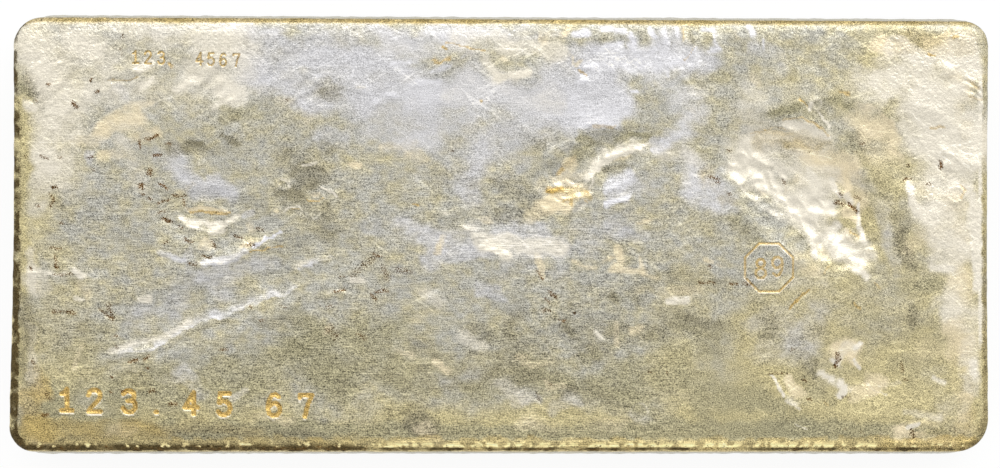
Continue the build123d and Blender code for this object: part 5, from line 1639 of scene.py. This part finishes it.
def tint_of_tarnish_and_light(tree, finish, patterns):
    """The tint of the metal, with each finish where it is marked, tarnish and painted light alike, broken up
    by the grain and the bloom.
    """
    inputs = {0: patterns["bloom"], 1: SWAY_BLOOM, 2: SWAY_BASE}
    sway = add(tree, "ShaderNodeMath", inputs, operation="MULTIPLY_ADD")
    inputs = {0: patterns["blotches"], 1: SWAY_BLOTCHES, 2: sway}
    sway = add(tree, "ShaderNodeMath", inputs, operation="MULTIPLY_ADD")
    tint = add(tree, "ShaderNodeMixRGB", {"Fac": sway, "Color1": finish.silver, "Color2": finish.warm})
    for name, (grain_gain, bloom_gain) in FINISH_LAYERS.items():
        marked = add(tree, "ShaderNodeAttribute", output="Fac", attribute_name=name)
        grain = patterns["grit" if name == "rust" else "grain"]
        inputs = {0: grain, 1: grain_gain, 2: -(grain_gain + bloom_gain) / 2}
        uneven = add(tree, "ShaderNodeMath", inputs, operation="MULTIPLY_ADD")
        inputs = {0: patterns["bloom"], 1: bloom_gain, 2: uneven}
        uneven = add(tree, "ShaderNodeMath", inputs, operation="MULTIPLY_ADD")
        gate = add(tree, "ShaderNodeMath", {0: marked, 1: GATE}, operation="MULTIPLY", use_clamp=True)
        broken = add(tree, "ShaderNodeMath", {0: uneven, 1: gate, 2: marked}, operation="MULTIPLY_ADD")
        inputs = {"Value": broken, "From Min": BROKEN_LOW, "From Max": BROKEN_HIGH}
        share = add(tree, "ShaderNodeMapRange", inputs, interpolation_type="SMOOTHSTEP")
        inputs = {"Fac": share, "Color1": tint, "Color2": getattr(finish, name)}
        tint = add(tree, "ShaderNodeMixRGB", inputs)
    return tint


def hairlines(tree, patterns):
    """Hairline scratches that run three ways over the face, most where the tarnish is worn."""
    scratches = 0.0
    for name, level in SCRATCHES.items():
        away = add(tree, "ShaderNodeMath", {0: patterns[name], 1: level}, operation="SUBTRACT")
        away = add(tree, "ShaderNodeMath", {0: away}, operation="ABSOLUTE")
        inputs = {"Value": away, "From Max": HAIRLINE, "To Min": 1.0, "To Max": 0.0}
        line = add(tree, "ShaderNodeMapRange", inputs)
        scratches = add(tree, "ShaderNodeMath", {0: line, 1: scratches}, operation="ADD")
    inputs = {"Value": patterns["bloom"], "From Min": WORN_LOW, "From Max": WORN_HIGH, "To Min": UNWORN}
    worn = add(tree, "ShaderNodeMapRange", inputs)
    return add(tree, "ShaderNodeMath", {0: scratches, 1: worn}, operation="MULTIPLY")


def metal_light(tree, tint, patterns):
    """How light the metal is. Its grain speckles dark tarnish most, and white frosted silver least."""
    inputs = {0: patterns["grain"], 1: GRAIN_LIGHT, 2: -(GRAIN_LIGHT + GRIT_LIGHT) / 2}
    light = add(tree, "ShaderNodeMath", inputs, operation="MULTIPLY_ADD")
    inputs = {0: patterns["grit"], 1: GRIT_LIGHT, 2: light}
    light = add(tree, "ShaderNodeMath", inputs, operation="MULTIPLY_ADD")
    paleness = add(tree, "ShaderNodeRGBToBW", {"Color": tint})
    inputs = {"Value": paleness, "From Min": DARK, "From Max": PALE}
    inputs |= {"To Min": DARK_SPECKLE, "To Max": PALE_SPECKLE}
    speckle = add(tree, "ShaderNodeMapRange", inputs)
    light = add(tree, "ShaderNodeMath", {0: light, 1: speckle, 2: 1.0}, operation="MULTIPLY_ADD")
    inputs = {0: patterns["streaks"], 1: STREAK_LIGHT, 2: -STREAK_LIGHT / 2}
    streaks = add(tree, "ShaderNodeMath", inputs, operation="MULTIPLY_ADD")
    brushed = add(tree, "ShaderNodeAttribute", output="Fac", attribute_name="brushed")
    light = add(tree, "ShaderNodeMath", {0: streaks, 1: brushed, 2: light}, operation="MULTIPLY_ADD")
    inputs = {0: hairlines(tree, patterns), 1: SCRATCH_LIGHT, 2: light}
    return add(tree, "ShaderNodeMath", inputs, operation="MULTIPLY_ADD")


def metal_bump(tree, patterns):
    """The grain and the crumpled skin, as bumps."""
    inputs = {0: patterns["crumple"], 1: CRUMPLE_HEIGHT, 2: -CRUMPLE_HEIGHT / 2}
    crumple = add(tree, "ShaderNodeMath", inputs, operation="MULTIPLY_ADD")
    crumple = add(tree, "ShaderNodeMath", {0: crumple}, operation="ABSOLUTE")
    rough = add(tree, "ShaderNodeAttribute", output="Fac", attribute_name="rough")
    height = add(tree, "ShaderNodeMath", {0: crumple, 1: rough}, operation="MULTIPLY")
    inputs = {0: patterns["grain"], 1: GRAIN_HEIGHT, 2: height}
    height = add(tree, "ShaderNodeMath", inputs, operation="MULTIPLY_ADD")
    return add(tree, "ShaderNodeBump", {"Strength": 1.0, "Distance": FULL_HEIGHT, "Height": height})


def cast_silver(finish):
    """Fine silver, cast in iron and tarnished.

    It gives the eye a dull pale metal: the grain blurs what it mirrors, and the tarnish tints it in patches,
    among which lie painted highlights, shade and glints.
    """
    material = bpy.data.materials.new("cast fine silver")
    material.use_nodes = True
    tree = material.node_tree
    shader = tree.nodes["Principled BSDF"]
    patterns = metal_patterns(tree)
    tint = tint_of_tarnish_and_light(tree, finish, patterns)
    light = metal_light(tree, tint, patterns)
    speckled = add(tree, "ShaderNodeVectorMath", {0: tint, "Scale": light}, operation="SCALE")
    capped = add(tree, "ShaderNodeVectorMath", {0: speckled, 1: BRIGHTEST}, operation="MINIMUM")
    tree.links.new(capped, shader.inputs["Base Color"])
    tree.links.new(metal_bump(tree, patterns), shader.inputs["Normal"])
    shader.inputs["Metallic"].default_value = 1.0
    shader.inputs["Roughness"].default_value = 0.42
    return material


# The floor's side in metres, and the share of its light that is its own where the camera or a mirror sees it
FLOOR_SIZE = 6.0
FLOOR_GLOW = 0.88

# How bright the sky is in front of the bar and behind it, how much its two ends count as behind it, and how
# far from the middle of the sky the change goes on
FRONT_SKY, BACK_SKY, END_SKY = 0.62, 1.48, 0.4
SKY_REACH = 0.7

# Lamps: the place in metres, the length and the width
LAMPS = {
    "key lamp": ((0.2, 0.7, 0.75), 1.1, 0.5),
    "front fill": ((0.0, -0.8, 0.42), 1.2, 0.3),
}


def white_paper(colour):
    """White paper, which glows a little to the camera and in mirrors, so that it stays plain white."""
    paper = bpy.data.materials.new("white paper")
    paper.use_nodes = True
    tree = paper.node_tree
    tree.nodes.clear()
    surface = tree.nodes.new("ShaderNodeOutputMaterial")
    seen = 0.0
    for ray in ("Is Camera Ray", "Is Glossy Ray", "Is Transmission Ray"):
        is_ray = add(tree, "ShaderNodeLightPath", output=ray)
        seen = add(tree, "ShaderNodeMath", {0: is_ray, 1: seen}, operation="MAXIMUM")
    share = add(tree, "ShaderNodeMath", {0: seen, 1: FLOOR_GLOW}, operation="MULTIPLY")
    plain = add(tree, "ShaderNodeBsdfDiffuse", {"Color": colour})
    glow = add(tree, "ShaderNodeEmission", {"Color": (1, 1, 1, 1), "Strength": 1.0})
    mix = add(tree, "ShaderNodeMixShader", {0: share, 1: plain, 2: glow})
    tree.links.new(mix, surface.inputs["Surface"])
    return paper


def studio_sky(strength):
    """A sky that is brightest behind the bar, then at its two ends, and least bright in front of it."""
    world = bpy.data.worlds.new("soft studio")
    world.use_nodes = True
    tree = world.node_tree
    background = tree.nodes["Background"]
    direction = add(tree, "ShaderNodeTexCoord", output="Generated")
    aside = add(tree, "ShaderNodeSeparateXYZ", {0: direction}, output="X")
    behind = add(tree, "ShaderNodeSeparateXYZ", {0: direction}, output="Y")
    aside = add(tree, "ShaderNodeMath", {0: aside}, operation="ABSOLUTE")
    toward = add(tree, "ShaderNodeMath", {0: aside, 1: END_SKY, 2: behind}, operation="MULTIPLY_ADD")
    inputs = {"Value": toward, "From Min": -SKY_REACH, "From Max": SKY_REACH}
    inputs |= {"To Min": FRONT_SKY * strength, "To Max": BACK_SKY * strength}
    tree.links.new(add(tree, "ShaderNodeMapRange", inputs), background.inputs["Strength"])
    background.inputs["Color"].default_value = (1, 1, 1, 1)
    return world


def hang_lamp(name, power):
    """Hangs a soft lamp that points at the bar."""
    place, length, width = LAMPS[name]
    bpy.ops.object.light_add(type="AREA", location=place)
    lamp = bpy.context.object
    lamp.name = name
    lamp.data.shape = "RECTANGLE"
    lamp.data.size = length
    lamp.data.size_y = width
    lamp.data.energy = power
    lamp.rotation_euler = lamp.location.to_track_quat("Z", "Y").to_euler()


def set_camera(scene, height):
    """Sets a camera straight above the bar, which frames it as the picture does."""
    scale = FACE_SCALE / MM
    offset_x = (PICTURE_CENTRE_PIXEL[0] - BAR_CENTRE_PIXEL[0]) / scale
    offset_y = (BAR_CENTRE_PIXEL[1] - PICTURE_CENTRE_PIXEL[1]) / scale
    bpy.ops.object.camera_add(location=(offset_x, offset_y, BAR_TOP + height), rotation=(0, 0, 0))
    camera = bpy.context.object
    camera.data.sensor_width = SENSOR_WIDTH
    camera.data.lens = scale * height / PICTURE_WIDTH * SENSOR_WIDTH
    scene.camera = camera


class SILVER_OT_cast_bar(bpy.types.Operator):
    """Casts the bar: its block, its relief and its finish"""

    bl_idname = "silver.cast_bar"
    bl_label = "Cast the bar"

    def execute(self, context):
        sizes = context.scene.bar_sizes
        bar = cast_block(sizes)
        work_face(bar, sizes)
        stain_face(bar, sizes)
        bar.data.materials.append(cast_silver(context.scene.silver_finish))
        bpy.ops.object.shade_smooth()
        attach(bar, CAST_BODY)
        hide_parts(CAST_NODE)
        return {"FINISHED"}


class SILVER_OT_set_stage(bpy.types.Operator):
    """Sets the floor, the lamps and the camera"""

    bl_idname = "silver.set_stage"
    bl_label = "Set the stage"

    def execute(self, context):
        scene = context.scene
        stage = scene.stage_settings
        bpy.ops.object.select_all(action="DESELECT")
        bpy.ops.mesh.primitive_plane_add(size=FLOOR_SIZE, location=(0, 0, 0))
        floor = context.object
        floor.name = floor.data.name = "floor"
        floor.data.materials.append(white_paper(stage.floor))
        scene.world = studio_sky(stage.sky)
        hang_lamp("key lamp", stage.key)
        hang_lamp("front fill", stage.fill)
        set_camera(scene, stage.camera_height)
        scene.view_settings.view_transform = "Standard"
        return {"FINISHED"}


class SILVER_PT_bar(bpy.types.Panel):
    """The bar's sizes, finish and stage"""

    bl_label = "Silver Bar"
    bl_idname = "SILVER_PT_bar"
    bl_space_type = "VIEW_3D"
    bl_region_type = "UI"
    bl_category = "Silver Bar"

    def draw(self, context):
        scene = context.scene
        for group in (scene.bar_sizes, scene.silver_finish, scene.stage_settings):
            box = self.layout.box()
            for name in group.__annotations__:
                box.prop(group, name)
        for operator in (SILVER_OT_cast_bar, SILVER_OT_set_stage):
            self.layout.operator(operator.bl_idname)


CLASSES = (BarSizes, SilverFinish, StageSettings, SILVER_OT_cast_bar, SILVER_OT_set_stage, SILVER_PT_bar)
SETTINGS = {"bar_sizes": BarSizes, "silver_finish": SilverFinish, "stage_settings": StageSettings}


def register():
    for group in CLASSES:
        bpy.utils.register_class(group)
    for name, group in SETTINGS.items():
        setattr(bpy.types.Scene, name, PointerProperty(type=group))


def unregister():
    for name in SETTINGS:
        delattr(bpy.types.Scene, name)
    for group in reversed(CLASSES):
        bpy.utils.unregister_class(group)


def main():
    register()
    bpy.ops.silver.cast_bar()
    bpy.ops.silver.set_stage()


if __name__ == "__main__":
    main()
